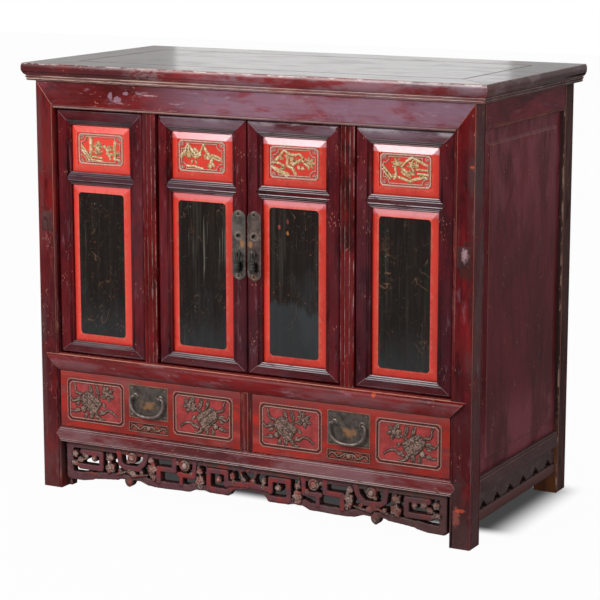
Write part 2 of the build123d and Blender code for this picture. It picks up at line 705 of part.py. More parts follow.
def door_studs():
    """Eye of the pull, staple for a padlock and the domed studs that fix the left plate."""
    studs = [eye(-DOOR_PLATE_X, PLATE_FACE, PULL_Z, PULL_OUT, EYE_R, EYE_HOLE),
             eye(-DOOR_PLATE_X, PLATE_FACE, STAPLE_Z, STAPLE_OUT, STAPLE_R, STAPLE_HOLE)]
    dome = Polygon((0, 0), (STUD_R, 0), (STUD_R * 0.8, STUD_H * 0.6), (STUD_R * 0.4, STUD_H), (0, STUD_H),
                   align=None)
    studs += [turned(dome, -DOOR_PLATE_X, PLATE_FACE, z) for z in STUD_Z]
    return studs


def door_pull():
    """Drop pull of the left door: stirrup through the eye, collar, barrel and foot."""
    x = -DOOR_PLATE_X
    collar = PULL_Z - PULL_L * 0.44
    foot = PULL_Z - PULL_L
    left, right = x - PULL_HALF, x + PULL_HALF
    path = FilletPolyline((left, PULL_Y, collar), (left, PULL_Y, PULL_Z), (right, PULL_Y, PULL_Z),
                          (right, PULL_Y, collar), radius=2.0)
    stirrup = sweep(Plane(origin=path @ 0, z_dir=path % 0) * Circle(PULL_WIRE_R), path=path)
    barrel = Polygon((0, collar), (BARREL_R, collar), (BARREL_R, collar - 3), (BARREL_R - 2, collar - 5),
                     (BARREL_R - 1, collar - 8), (BARREL_R - 1, foot + 7), (BARREL_R - 1.5, foot + 5),
                     (BARREL_R, foot + 3), (BARREL_R, foot), (0, foot), align=None)
    return stirrup + Pos(x, PULL_Y, 0) * revolve(Plane.XZ * barrel, Axis.Z)


BAIL_Z = DRAWER_PLATE_MID + BAIL_UP
DRAWER_PLATE_FACE = DRAWER_Y - DRAWER_PLATE_T
BAIL_Y = DRAWER_PLATE_FACE - BAIL_OUT


def drawer_plate():
    """Pull plate of the left drawer and its two eyes."""
    half = DRAWER_PLATE_W / 2
    low = DRAWER_PLATE_MID - DRAWER_PLATE_H / 2
    plate = block(-DRAWER_MID - half, -DRAWER_MID + half, DRAWER_PLATE_FACE, DRAWER_Y,
                  low, low + DRAWER_PLATE_H)
    eyes = [eye(-DRAWER_MID + side * BAIL_HALF, DRAWER_PLATE_FACE, BAIL_Z, BAIL_OUT, BAIL_EYE_R, BAIL_HOLE)
            for side in (-1, 1)]
    return [plate] + eyes


def drawer_bail():
    """Swan-necked bail of the left drawer, hanging in its eyes."""
    inner = BAIL_HALF - BAIL_EYE_R - 1
    wide = BAIL_HALF + 11
    waist = BAIL_HALF - 4
    corners = [(-inner, 0), (-wide, 0), (-wide, -18), (-waist, -BAIL_DROP),
               (waist, -BAIL_DROP), (wide, -18), (wide, 0), (inner, 0)]
    points = [(-DRAWER_MID + x, BAIL_Y, BAIL_Z + z) for x, z in corners]
    path = FilletPolyline(*points, radius=[5.0, 10.0, 16.0, 16.0, 10.0, 5.0])
    return sweep(Plane(origin=path @ 0, z_dir=path % 0) * Circle(BAIL_R), path=path)


# ---------------------------------------------------------------- drawers

def clipped_rect(mid_x, mid_z, width, height, clip):
    """Rectangle with its corners cut off."""
    x0, x1 = mid_x - width / 2, mid_x + width / 2
    z0, z1 = mid_z - height / 2, mid_z + height / 2
    return [(x0 + clip, z0), (x1 - clip, z0), (x1, z0 + clip), (x1, z1 - clip),
            (x1 - clip, z1), (x0 + clip, z1), (x0, z1 - clip), (x0, z0 + clip)]


def incised_frame(mid_x, mid_z, width, height, clip):
    """Shallow line round a carved field."""
    y1 = DRAWER_Y + LINE_DEEP
    outer = prism(clipped_rect(mid_x, mid_z, width, height, clip), DRAWER_Y, y1)
    inner = prism(clipped_rect(mid_x, mid_z, width - 2 * LINE_W, height - 2 * LINE_W, clip), DRAWER_Y, y1)
    return outer - inner


def drawer_front():
    front = block(-DRAWER_MID - DRAWER_HALF, -DRAWER_MID + DRAWER_HALF, DRAWER_Y, DRAWER_Y + DRAWER_FRONT_T,
                  DRAWER_LOW, DRAWER_HIGH)
    middle = (DRAWER_LOW + DRAWER_HIGH) / 2
    for side in (-1, 1):
        front -= incised_frame(-DRAWER_MID + side * CARVED_OUT, middle, CARVED_W, CARVED_H, CARVED_CLIP)
    strip = block(-DRAWER_MID - STRIP_W / 2 + LINE_W, -DRAWER_MID + STRIP_W / 2 - LINE_W, DRAWER_Y,
                  DRAWER_Y + LINE_DEEP, STRIP_LOW + LINE_W, STRIP_LOW + STRIP_H - LINE_W)
    return front - strip


def drawer_box():
    """Sides, back and bottom of the left drawer."""
    x0 = -DRAWER_MID - DRAWER_HALF + DRAWER_LIP
    x1 = -DRAWER_MID + DRAWER_HALF - DRAWER_LIP
    y0 = DRAWER_Y + DRAWER_FRONT_T
    y1 = y0 + DRAWER_L
    low = BASE_TOP + SEAT
    high = low + DRAWER_BOX_H
    floor_low = low + DRAWER_BOTTOM_UP
    inner0, inner1 = x0 + DRAWER_SIDE_T, x1 - DRAWER_SIDE_T
    half = DRAWER_SIDE_T / 2
    bottom = block(inner0 - half, inner1 + half, y0, y1 - DRAWER_SIDE_T, floor_low,
                   floor_low + DRAWER_BOTTOM_T)
    sides = [block(x0, inner0, y0, y1, low, high) - bottom, block(inner1, x1, y0, y1, low, high) - bottom]
    back = block(inner0, inner1, y1 - DRAWER_SIDE_T, y1, low, high)
    return sides + [back, bottom]


def drawer_divider():
    """Beaded stile between the drawers, with the partition behind it."""
    half = DIVIDER_W / 2
    y = Y_FRONT
    face = outline((-half, y + 1), ((-half + 2, y), (-half + 4, y + 1)), ((-half + 6, y), (-half + 8, y + 1)),
                   (-half + 9, y), (half - 9, y), (half - 8, y + 1), ((half - 6, y), (half - 4, y + 1)),
                   ((half - 2, y), (half, y + 1)), (half, y + RAIL_D), (-half, y + RAIL_D))
    stile_piece = along_z(face, BASE_TOP, SILL_LOW)
    partition = block(-PARTITION_T / 2, PARTITION_T / 2, y + RAIL_D, REAR_Y0, BASE_TOP, SILL_TOP - FLOOR_T)
    return [stile_piece, partition]


def drawer_runners():
    """Two runners under each drawer, from the front to the rear bottom rail."""
    runners = []
    reach = DRAWER_HALF - DRAWER_LIP
    for x0 in (-DRAWER_MID - reach, -DRAWER_MID + reach - RUNNER_W):
        runners.append(block(x0, x0 + RUNNER_W, Y_FRONT + RAIL_D, REAR_Y0,
                             BASE_TOP - RUNNER_H, BASE_TOP))
    return runners + [flipped(runner) for runner in runners]


# ---------------------------------------------------------------- inside

def cupboard_floor():
    """Board over the drawers, notched round the posts."""
    low = SILL_TOP - FLOOR_T
    middle = block(-POST_IN, POST_IN, Y_FRONT + RAIL_D, REAR_Y0, low, SILL_TOP)
    return middle + block(-INNER_HALF, INNER_HALF, SIDE_Y0, SIDE_Y1, low, SILL_TOP)


def shelf():
    return block(-INNER_HALF, INNER_HALF, Y_FRONT + SHELF_BACK, SIDE_Y1, SHELF_TOP - FLOOR_T, SHELF_TOP)


def bearers():
    """Strips on the side panels that carry the floor and the shelf."""
    strips = [block(-INNER_HALF, -INNER_HALF + BEARER, SIDE_Y0, SIDE_Y1, top - FLOOR_T - BEARER, top - FLOOR_T)
              for top in (SILL_TOP, SHELF_TOP)]
    return strips + [flipped(strip) for strip in strips]


def back_boards():
    """Three upright boards behind the cupboard and one behind the drawers."""
    reach = POST_IN + GROOVE - PLAY
    y0 = (REAR_Y0 + REAR_Y1 - BACK_T) / 2
    end = GROOVE - PLAY
    width = 2 * reach / 3
    boards = [block(-reach + i * width, -reach + (i + 1) * width, y0, y0 + BACK_T,
                    SILL_TOP - end, HEAD_LOW + end) for i in range(3)]
    return boards + [block(-reach, reach, y0, y0 + BACK_T, BASE_TOP - end, SILL_LOW + end)]


# ---------------------------------------------------------------- aprons

APRON_HALF = POST_IN
# Lower edge of the left half of the front apron, from the post to the middle: (x from the post, z)
APRON_EDGE = [(0, 20), (44, 21), (100, 31), (150, 36), (158, 36), (163, 24), (171, 24), (184, 38),
              (205, 40), (222, 32), (246, 30), (330, 32), (345, 39), (372, 41), (385, 37), (430, 36),
              (446, 52), (484, 57)]
# Pierced spaces of the left half: (x from the post, x to, z from, z to)
APRON_HOLES = [(26, 60, 86, 97), (26, 35, 44, 76), (78, 95, 72, 90), (105, 133, 84, 97), (100, 118, 46, 60),
               (160, 184, 94, 99), (170, 196, 52, 62), (214, 222, 66, 97), (230, 276, 88, 97),
               (246, 296, 50, 62), (268, 292, 84, 90), (306, 322, 42, 60), (352, 372, 84, 97),
               (376, 384, 48, 78), (402, 430, 82, 86), (402, 408, 58, 82), (438, 462, 84, 97)]


def front_apron():
    """Openwork board under the bottom rail."""
    y0 = Y_FRONT + APRON_BACK
    left = [(-APRON_HALF + x, z) for x, z in APRON_EDGE]
    right = [(-x, z) for x, z in reversed(left)]
    board = prism(left + right[1:] + [(APRON_HALF, BASE_LOW), (-APRON_HALF, BASE_LOW)], y0, y0 + APRON_T)
    for x0, x1, z0, z1 in APRON_HOLES:
        hole = block(-APRON_HALF + x0, -APRON_HALF + x1, y0 - 1, y0 + APRON_T + 1, z0, z1)
        board = board - hole - flipped(hole)
    return board


def side_apron():
    """Left side apron: board with cloud-shaped piercings over a rounded bar."""
    x0 = -HALF_W + SIDE_APRON_IN
    bar_top = SIDE_APRON_LOW + SIDE_BAR_D
    board = block(x0, x0 + SIDE_APRON_T, SIDE_Y0, SIDE_Y1, bar_top, BASE_LOW)
    pitch = (SIDE_Y1 - SIDE_Y0) / CLOUDS
    for i in range(CLOUDS):
        y = SIDE_Y0 + (i + 0.5) * pitch
        for dy, radius in ((-CLOUD_R, CLOUD_R * 0.6), (0, CLOUD_R), (CLOUD_R, CLOUD_R * 0.6)):
            board -= rod((x0 - 1, y + dy, bar_top), (x0 + SIDE_APRON_T + 1, y + dy, bar_top), radius)
    radius = SIDE_BAR_D / 2
    middle = x0 + SIDE_APRON_T / 2
    low = SIDE_APRON_LOW
    oval = outline((middle - 8, bar_top), ((middle - radius, low + radius), (middle - 8, low)),
                   (middle + 8, low), ((middle + radius, low + radius), (middle + 8, bar_top)))
    return [board, along_y(oval, SIDE_Y0, SIDE_Y1)]


# ---------------------------------------------------------------- write every node

os.makedirs("parts", exist_ok=True)

left_post = front_post() - patch()
left_rear = rear_post()
write("front_left_post", left_post)
write("front_right_post", flipped(left_post))
write("rear_left_post", left_rear)
write("rear_right_post", flipped(left_rear))
write("post_patches", patch(), flipped(patch()))

write("head_rail_front", head_rail_front())
write("head_rail_back", rear_rail(HEAD_LOW, BODY_TOP))
head_side = side_rail(HEAD_LOW, BODY_TOP, True)
write("head_rails_side", head_side, flipped(head_side))
write("sill_rail", sill_rail())
write("sill_rail_back", rear_rail(SILL_LOW, SILL_TOP))
write("bottom_rail_front", bottom_rail_front())
write("bottom_rail_back", rear_rail(BASE_LOW, BASE_TOP))
base_side = side_rail(BASE_LOW, BASE_TOP, False)
write("bottom_rails_side", base_side, flipped(base_side))
write("side_panel_left", side_panel())
write("side_panel_right", flipped(side_panel()))
write("back_boards", *back_boards())
write("reeded_post_left", reeded_post())
write("reeded_post_right", flipped(reeded_post()))

write("top_front_member", top_front())
write("top_back_member", top_back())
write("top_end_members", top_end(), flipped(top_end()))
write("top_panel", top_panel_space(PLAY))
write("top_battens", top_batten(-TOP_BATTEN_X), top_batten(TOP_BATTEN_X))

write("cupboard_floor", cupboard_floor())
write("shelf", shelf())
write("shelf_bearers", *bearers())
write("drawer_divider", *drawer_divider())
write("drawer_runners", *drawer_runners())

outer_frame = placed_leaf(LEAF_X, leaf_frame(hinged=False))
outer_carved, outer_lower = placed_leaf(LEAF_X, [carved_panel(), raised_panel(LOWER_LOW, LOWER_TOP)])
door_frame = placed_leaf(DOOR_X, leaf_frame(hinged=True))
door_carved, door_lower = placed_leaf(DOOR_X, [carved_panel(), raised_panel(LOWER_LOW, LOWER_TOP)])
for side, turn in (("left", lambda shape: shape), ("right", flipped)):
    write(f"{side}_leaf_frame", *[turn(bar) for bar in outer_frame])
    write(f"{side}_leaf_carved_panel", turn(outer_carved))
    write(f"{side}_leaf_lower_panel", turn(outer_lower))
    write(f"{side}_door_hinge_stile", turn(door_frame[0]))
    write(f"{side}_door_frame", *[turn(bar) for bar in door_frame[1:]])
    write(f"{side}_door_carved_panel", turn(door_carved))
    write(f"{side}_door_lower_panel", turn(door_lower))
    write(f"{side}_door_plate", turn(door_plate()))
    write(f"{side}_door_studs", *[turn(stud) for stud in door_studs()])
    write(f"{side}_door_pull", turn(door_pull()))
    write(f"{side}_drawer_front", turn(drawer_front()))
    write(f"{side}_drawer_box", *[turn(board) for board in drawer_box()])
    write(f"{side}_drawer_plate", *[turn(piece) for piece in drawer_plate()])
    write(f"{side}_drawer_bail", turn(drawer_bail()))

write("front_apron", front_apron())
write("side_aprons", *[turn(piece) for piece in side_apron() for turn in (lambda shape: shape, flipped)])
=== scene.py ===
"""Looks of a low lacquered wedding cabinet, built round its packed construction.

Metres. +X to the right seen from the front, +Y to the back, +Z up, the floor at Z = 0.
"""

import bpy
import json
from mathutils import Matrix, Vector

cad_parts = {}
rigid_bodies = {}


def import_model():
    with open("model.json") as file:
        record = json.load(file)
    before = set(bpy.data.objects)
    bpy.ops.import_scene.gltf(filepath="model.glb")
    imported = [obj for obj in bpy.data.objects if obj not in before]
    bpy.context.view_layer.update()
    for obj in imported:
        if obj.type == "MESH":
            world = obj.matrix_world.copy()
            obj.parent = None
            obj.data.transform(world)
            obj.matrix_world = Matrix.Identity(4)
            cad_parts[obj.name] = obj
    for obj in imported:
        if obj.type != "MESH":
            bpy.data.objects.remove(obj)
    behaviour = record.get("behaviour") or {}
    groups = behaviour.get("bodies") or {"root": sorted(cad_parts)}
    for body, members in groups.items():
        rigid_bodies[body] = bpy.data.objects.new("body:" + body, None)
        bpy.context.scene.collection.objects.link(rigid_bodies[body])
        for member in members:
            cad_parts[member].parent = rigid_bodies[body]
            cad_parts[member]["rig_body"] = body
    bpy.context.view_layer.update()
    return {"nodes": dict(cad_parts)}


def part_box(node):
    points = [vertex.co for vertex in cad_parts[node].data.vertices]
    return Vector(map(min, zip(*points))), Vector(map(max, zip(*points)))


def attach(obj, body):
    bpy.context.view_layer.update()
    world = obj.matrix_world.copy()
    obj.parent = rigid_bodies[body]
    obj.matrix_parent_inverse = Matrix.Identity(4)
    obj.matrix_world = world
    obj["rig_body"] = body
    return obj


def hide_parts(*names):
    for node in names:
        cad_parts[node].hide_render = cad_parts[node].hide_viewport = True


bl_info = {"name": "Lacquered wedding cabinet", "version": (1, 0, 0), "blender": (4, 5, 0),
    "location": "3D View > Sidebar > Cabinet",
    "description": "Finishes, carvings and fittings of a low lacquered wedding cabinet", "category": "Object",}

import json
from functools import cache
from math import cos, hypot, pi, radians, sin

import bmesh
import bpy
import numpy as np
from mathutils import Matrix, Vector

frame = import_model()

MM = 0.001
SIDES = (("left", -1), ("right", 1))
LEAVES = [f"{side}_{kind}" for side in ("left", "right") for kind in ("leaf", "door")]


# ---- places taken from the construction

def low(node):
    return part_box(node)[0]


def high(node):
    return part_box(node)[1]


FLOOR_Z = low("front_left_post").z - 0.3 * MM
TONGUE = 5.5 * MM            # how far a panel's tongue runs past its opening
PANEL_RAISE = 5 * MM         # a panel's field stands out from its edge
PANEL_BORDER = 16.5 * MM     # sloping border round the field


# ---- settings a user would change

def colour(name, words, value):
    """Colour property with its default, in linear light."""
    return bpy.props.FloatVectorProperty(name=name, description=words, default=value, subtype="COLOR", size=3,
        min=0, max=1)


def length(name, words, value):
    return bpy.props.FloatProperty(name=name, description=words, default=value, min=0, unit="LENGTH",
        subtype="DISTANCE", precision=4)


def strength(name, words, value, unit="NONE"):
    return bpy.props.FloatProperty(name=name, description=words, default=value, min=0, unit=unit)


class CabinetColours(bpy.types.PropertyGroup):
    """Colours of the lacquers, the carvings and the metal."""

    oxblood: colour("Oxblood", "Deep part of the carcase lacquer", (0.088, 0.0055, 0.0090))
    maroon: colour("Maroon", "Bright part of the carcase lacquer", (0.235, 0.0085, 0.0095))
    # the bloom's veil also stands in for painted sheen on the lacquer
    bloom: colour("Bloom", "Purple-grey bloom over the old lacquer", (0.210, 0.098, 0.140))
    side_brown: colour("Side brown", "Lacquer of the side panels", (0.120, 0.022, 0.021))
    worn: colour("Worn arris", "Rubbed lacquer on arrises and beads", (0.460, 0.190, 0.150))
    bare: colour("Bare wood", "Wood where the lacquer has gone", (0.420, 0.130, 0.040))
    vermilion: colour("Vermilion", "Borders of the leaves' panels", (0.905, 0.054, 0.030))
    rust: colour("Rust red", "Drawer fronts", (0.430, 0.026, 0.016))
    black: colour("Black", "Fields of the lower panels", (0.0130, 0.0086, 0.0068))
    gilt: colour("Gilt", "Gilding of the small carvings", (0.640, 0.380, 0.165))
    taupe: colour("Taupe", "Rubbed carvings of the drawers and the apron", (0.370, 0.235, 0.185))
    bronze: colour("Bronze", "Dark bronze of the fittings", (0.095, 0.075, 0.068))
    brass: colour("Brass", "Bright patches on the bronze", (0.400, 0.190, 0.075))
    softwood: colour("Softwood", "Unfinished wood inside", (0.330, 0.200, 0.105))


class CabinetSizes(bpy.types.PropertyGroup):
    """Sizes of what is finer than the construction."""

    arris: length("Arris", "Width of the rubbed arrises", 0.9 * MM)
    carving_cell: length("Carving cell", "Fineness of the carved surfaces", 0.8 * MM)
    apron_cell: length("Apron cell", "Fineness of the front apron", 1.3 * MM)
    field_radius: length("Field radius", "Rounded corners of the black fields", 8 * MM)
    field_sink: length("Field sink", "Depth of the black fields' edge", 0.6 * MM)
    bead_pitch: length("Bead pitch", "Distance between the beads round a drawer plate", 2.1 * MM)
    nail_radius: length("Nail radius", "Nails in the corners of a drawer plate", 2.2 * MM)


class CabinetStage(bpy.types.PropertyGroup):
    """Light and backdrop."""

    key: strength("Key", "Power of the softbox over the front", 84.0, "POWER")
    fill: strength("Fill", "Power of the softbox at the right", 16.0, "POWER")
    back: strength("Back", "Power of the softbox behind, which the top mirrors", 1.7, "POWER")
    room: strength("Room", "Brightness of the room in front", 0.32)
    backdrop: strength("Backdrop", "Brightness of the room behind", 0.56)


def colours():
    return bpy.context.scene.cabinet_colours


def sizes():
    return bpy.context.scene.cabinet_sizes


# ---- materials

class Value:
    """An output socket whose sums and products, with others or with numbers, are further nodes."""

    def __init__(self, graph, socket):
        self.graph, self.socket = graph, socket

    def __add__(self, other):
        return self.graph.sum(self, other)

    def __radd__(self, other):
        return self.graph.sum(other, self)

    def __sub__(self, number):
        return self.graph.sum(self, -number)

    def __mul__(self, other):
        return self.graph.sum(self, other, "MULTIPLY")


class Graph:
    """Adds shader nodes to a tree; each method returns a value."""

    def __init__(self, tree):
        self.nodes, self.links = tree.nodes, tree.links

    def feed(self, socket, value):
        if isinstance(value, Value):
            self.links.new(value.socket, socket)
        elif socket.type == "RGBA" and len(value) == 3:
            socket.default_value = (*value, 1)
        else:
            socket.default_value = value

    def node(self, output, kind, inputs=None, **settings):
        node = self.nodes.new("ShaderNode" + kind)
        for key, value in settings.items():
            setattr(node, key, value)
        for key, value in (inputs or {}).items():
            self.feed(node.inputs[key], value)
        return Value(self, node.outputs[output])

    def band(self, value, start, end, before=0.0, after=1.0):
        """before up to start, after beyond end, smooth between; start may be the higher one."""
        inputs = {"Value": value, "From Min": start, "From Max": end, "To Min": before, "To Max": after}
        return self.node("Result", "MapRange", inputs, interpolation_type="SMOOTHSTEP")

    def sum(self, a, b, how="ADD"):
        return self.node(0, "Math", {0: a, 1: b}, operation=how)

    def most(self, a, b):
        return self.sum(a, b, "MAXIMUM")

    def absolute(self, a):
        return self.sum(a, 0.0, "ABSOLUTE")

    def swing(self, a, share):
        """A noise's swing about its middle, times a share."""
        return (a - 0.5) * share

    def mix(self, factor, a, b):
        return self.node(2, "Mix", {"Factor": factor, 6: a, 7: b}, data_type="RGBA")


class Finish(Graph):
    """Builds one material over object coordinates; its base colour grows coat by coat."""

    def __init__(self, name):
        self.material = bpy.data.materials.new(name)
        self.material.use_nodes = True
        super().__init__(self.material.node_tree)
        self.shader = self.nodes["Principled BSDF"]
        self.object = self.node("Object", "TexCoord")

    def coat(self, tone, mask, share=None):
        """A further colour where the mask is 1, with a share of its strength."""
        self.base = self.mix(mask if share is None else mask * share, self.base, tone)

    def stretched(self, stretch, shift=0.0):
        """Object coordinates, drawn out along an axis."""
        inputs = {"Vector": self.object, "Scale": stretch, "Location": (shift, shift * 0.7, shift * 1.3)}
        return self.node("Vector", "Mapping", inputs)

    def noise(self, scale, stretch=(1, 1, 1), detail=3.0, rough=0.55, shift=0.0, twist=0.0):
        inputs = {"Vector": self.stretched(stretch, shift), "Scale": scale, "Detail": detail,
            "Roughness": rough, "Distortion": twist}
        return self.node("Fac", "TexNoise", inputs)

    def cells(self, scale, stretch=(1, 1, 1), feature="F1", shift=0.0):
        inputs = {"Vector": self.stretched(stretch, shift), "Scale": scale}
        return self.node("Distance", "TexVoronoi", inputs, feature=feature)

    def attribute(self, name):
        return self.node("Fac", "Attribute", attribute_name=name)

    def axis(self, letter):
        return self.node(letter, "SeparateXYZ", {"Vector": self.object})

    def ramp(self, letter, start, end):
        """0 below start, 1 above end along an axis."""
        return self.band(self.axis(letter), start, end)

    def stain(self, x, z, half_w, half_h, ragged=4.0):
        """A ragged round patch at (x, z): 1 inside, 0 outside."""
        across = (self.axis("X") - x) * (1 / half_w)
        up = (self.axis("Z") - z) * (1 / half_h)
        away = across * across + up * up
        away = away + self.swing(self.noise(130, detail=5, rough=0.65, shift=51), ragged)
        return self.band(away, 1.3, 0.5)

    def bump(self, height, distance, strength=0.6):
        inputs = {"Height": height, "Distance": distance, "Strength": strength}
        self.feed(self.shader.inputs["Normal"], self.node("Normal", "Bump", inputs))

    def done(self, roughness, specular, coat=0.0, coat_roughness=0.2, metallic=0.0):
        for label, value in (("Base Color", self.base), ("Roughness", roughness), ("Metallic", metallic),
                ("Specular IOR Level", specular), ("Coat Weight", coat), ("Coat Roughness", coat_roughness)):
            self.feed(self.shader.inputs[label], value)
        return self.material


def toned(tone, share):
    return tuple(v * share for v in tone)


def eased(grain, least):
    """A grain's stretch, drawn out less."""
    return tuple(least + (1 - least) * g for g in grain)


ALONG = {"x": (0.09, 1, 1), "y": (1, 0.09, 1), "z": (1, 1, 0.09)}


def old_lacquer(name, deep, bright, along, bloom=0.5, shift=0.0, worn=None, specular=0.35, extra=None,
        rubbed=0.0, veil_tone=None, rough=0.24, mottle=0.6, smears=0.2, spots=(), lines=None):
    """Old glossy lacquer over wood: mottled, veiled with bloom that also stands in for painted sheen,
    scratched, rubbed through on its arrises, with painted shade in its grooves.

    extra takes the finish and returns a mask of more veil, which is bloom, painted sheen, brown dirt or bare
    wood as the caller gives; lines is such a mask for fine rubbed lines or, on the leaves' rails, painted
    glints, with their colour; rubbed lowers the wear that shows; spots holds (x, z, half-width, half-height,
    colour).
    """
    c = colours()
    worn = worn or c.worn[:]
    f = Finish(name)
    grain = ALONG[along]
    cloud = f.noise(5.0, eased(grain, 0.35), 4, 0.6, shift)
    streak = f.noise(170, grain, 3, 0.6, shift + 1)
    f.base = f.mix(f.band(cloud, 0.36, 0.62), deep, bright)
    blotch = f.noise(26, eased(grain, 0.22), 5, 0.68, shift + 9, 0.5)
    f.coat(toned(deep, 0.30), f.band(blotch, 0.50, 0.66), mottle)
    f.coat(toned(bright, 1.45), f.band(blotch, 0.46, 0.32), mottle * 0.6)
    f.coat(toned(deep, 0.35), f.band(streak, 0.40, 0.75), 0.40)
    # veil: bloom laid over the lacquer in patches, which also stands in for painted sheen
    haze = f.noise(9, eased(grain, 0.3), 5, 0.65, shift + 2, 0.4)
    veil = f.band(haze, 0.44, 0.72) * bloom
    if extra:
        patchy = f.band(haze + f.swing(blotch, 0.8), 0.38, 0.62) * 0.85 + 0.12
        veil = f.most(veil, extra(f) * (patchy * (1.0 + streak * -0.5)))
    f.coat(veil_tone or c.bloom[:], veil)
    smear = f.band(f.noise(70, eased(grain, 0.12), 5, 0.7, shift + 11), 0.58, 0.70)
    f.coat((0.42, 0.27, 0.33), smear, smears)
    rub = f.noise(60, eased(grain, 0.25), 3, 0.6, shift + 3)
    edge = f.band(f.attribute("wear") + f.swing(rub, 1.0), 0.38 - rubbed, 0.66 - rubbed)
    scratch = f.cells(26, tuple(0.2 + 1.6 * g for g in grain), "DISTANCE_TO_EDGE", shift)
    gate = f.band(f.noise(7, (1, 1, 1), 2, 0.5, shift + 4), 0.54, 0.68)
    scratch = f.band(scratch, 0.011, 0.003) * (gate * f.band(rub, 0.42, 0.56) * 0.5)
    fleck = f.cells(210, eased(grain, 0.4), shift=shift + 5)
    fleck = f.band(fleck, 0.3, 0.15) * f.band(f.noise(24, (1, 1, 1), 3, 0.6, shift + 6), 0.57, 0.65)
    tan = f.mix(f.band(rub, 0.40, 0.7), worn, toned(worn, 0.5))
    f.coat(f.mix(0.25, c.worn[:], c.bare[:]), fleck, 0.8)
    f.coat(c.worn[:], scratch)
    for x, z, half_w, half_h, tone in spots:
        f.coat(tone, f.stain(x, z, half_w, half_h), 0.6)
    f.coat(tan, edge, 0.9)
    if lines:
        f.coat(lines[1], lines[0](f), f.band(rub, 0.30, 0.46))
    # painted shade in grooves and narrow hollows
    f.coat((0.016, 0.006, 0.005), f.attribute("hollow"), 0.9)
    rough = f.band(haze, 0.35, 0.75) * 0.2 + (rough + edge * 0.25)
    f.bump(streak * 0.5 + (edge * -0.6 + scratch * -0.8), 0.25 * MM, 0.5)
    return f.done(rough, specular, coat=0.0)


@cache
def worn_vermilion():
    """Bright red lacquer of the panels' borders, darker at its foot, with rubbed edges and a painted highlight
    along its upper borders.
    """
    c = colours()
    f = Finish("worn_vermilion")
    cloud = f.noise(14, (1, 1, 0.5), 4, 0.6)
    fine = f.noise(240, (1, 1, 0.2), 3, 0.6, 2)
    f.base = f.mix(f.band(cloud, 0.35, 0.7), toned(c.vermilion, 0.80), c.vermilion[:])
    f.coat(toned(c.vermilion, 0.45), f.band(fine, 0.5, 0.8), 0.22)
    f.coat((1.0, 0.075, 0.048), f.ramp("X", -0.27, -0.31), 0.8)
    edge = f.band(f.attribute("wear") + f.swing(f.noise(80, detail=3), 1.2), 0.5, 0.85)
    f.coat((0.80, 0.20, 0.13), edge, 0.40)
    # darker towards the foot of the border, where it meets the frame
    border_foot = f.band(f.attribute("border_foot"), 0.35, 1.0)
    f.coat((0.12, 0.008, 0.008), border_foot, 0.8)
    # painted highlight: a pale pink sheen along the upper sloping borders, growing to the right, and a weaker
    # one on the lower panels' upper borders
    top = panel_opening("left_leaf_carved_panel")[3]
    bevel_highlight = f.ramp("Z", top - 1.05 * PANEL_BORDER, top - 0.85 * PANEL_BORDER) * f.ramp("X", -0.34, 0.0)
    f.coat((0.88, 0.46, 0.52), bevel_highlight, 0.35 + cloud * 0.7)
    low_top = panel_opening("left_leaf_lower_panel")[3]
    low_bevel_highlight = f.ramp("Z", low_top - PANEL_BORDER, low_top - 0.5 * PANEL_BORDER) * f.ramp("Z", low_top + 1 * MM,
        low_top)
    low_bevel_highlight = low_bevel_highlight * (0.15 + f.ramp("X", -0.3, 0.0) * 0.4)
    f.coat((0.78, 0.30, 0.36), low_bevel_highlight)
    fleck = f.band(f.cells(210), 0.22, 0.12) * f.band(f.noise(30, shift=5), 0.6, 0.68)
    f.coat((0.06, 0.012, 0.01), fleck, 0.7)
    f.bump(fine, 0.12 * MM, 0.35)
    return f.done(0.22 + cloud * 0.12, 0.4, coat=0.65, coat_roughness=0.12)


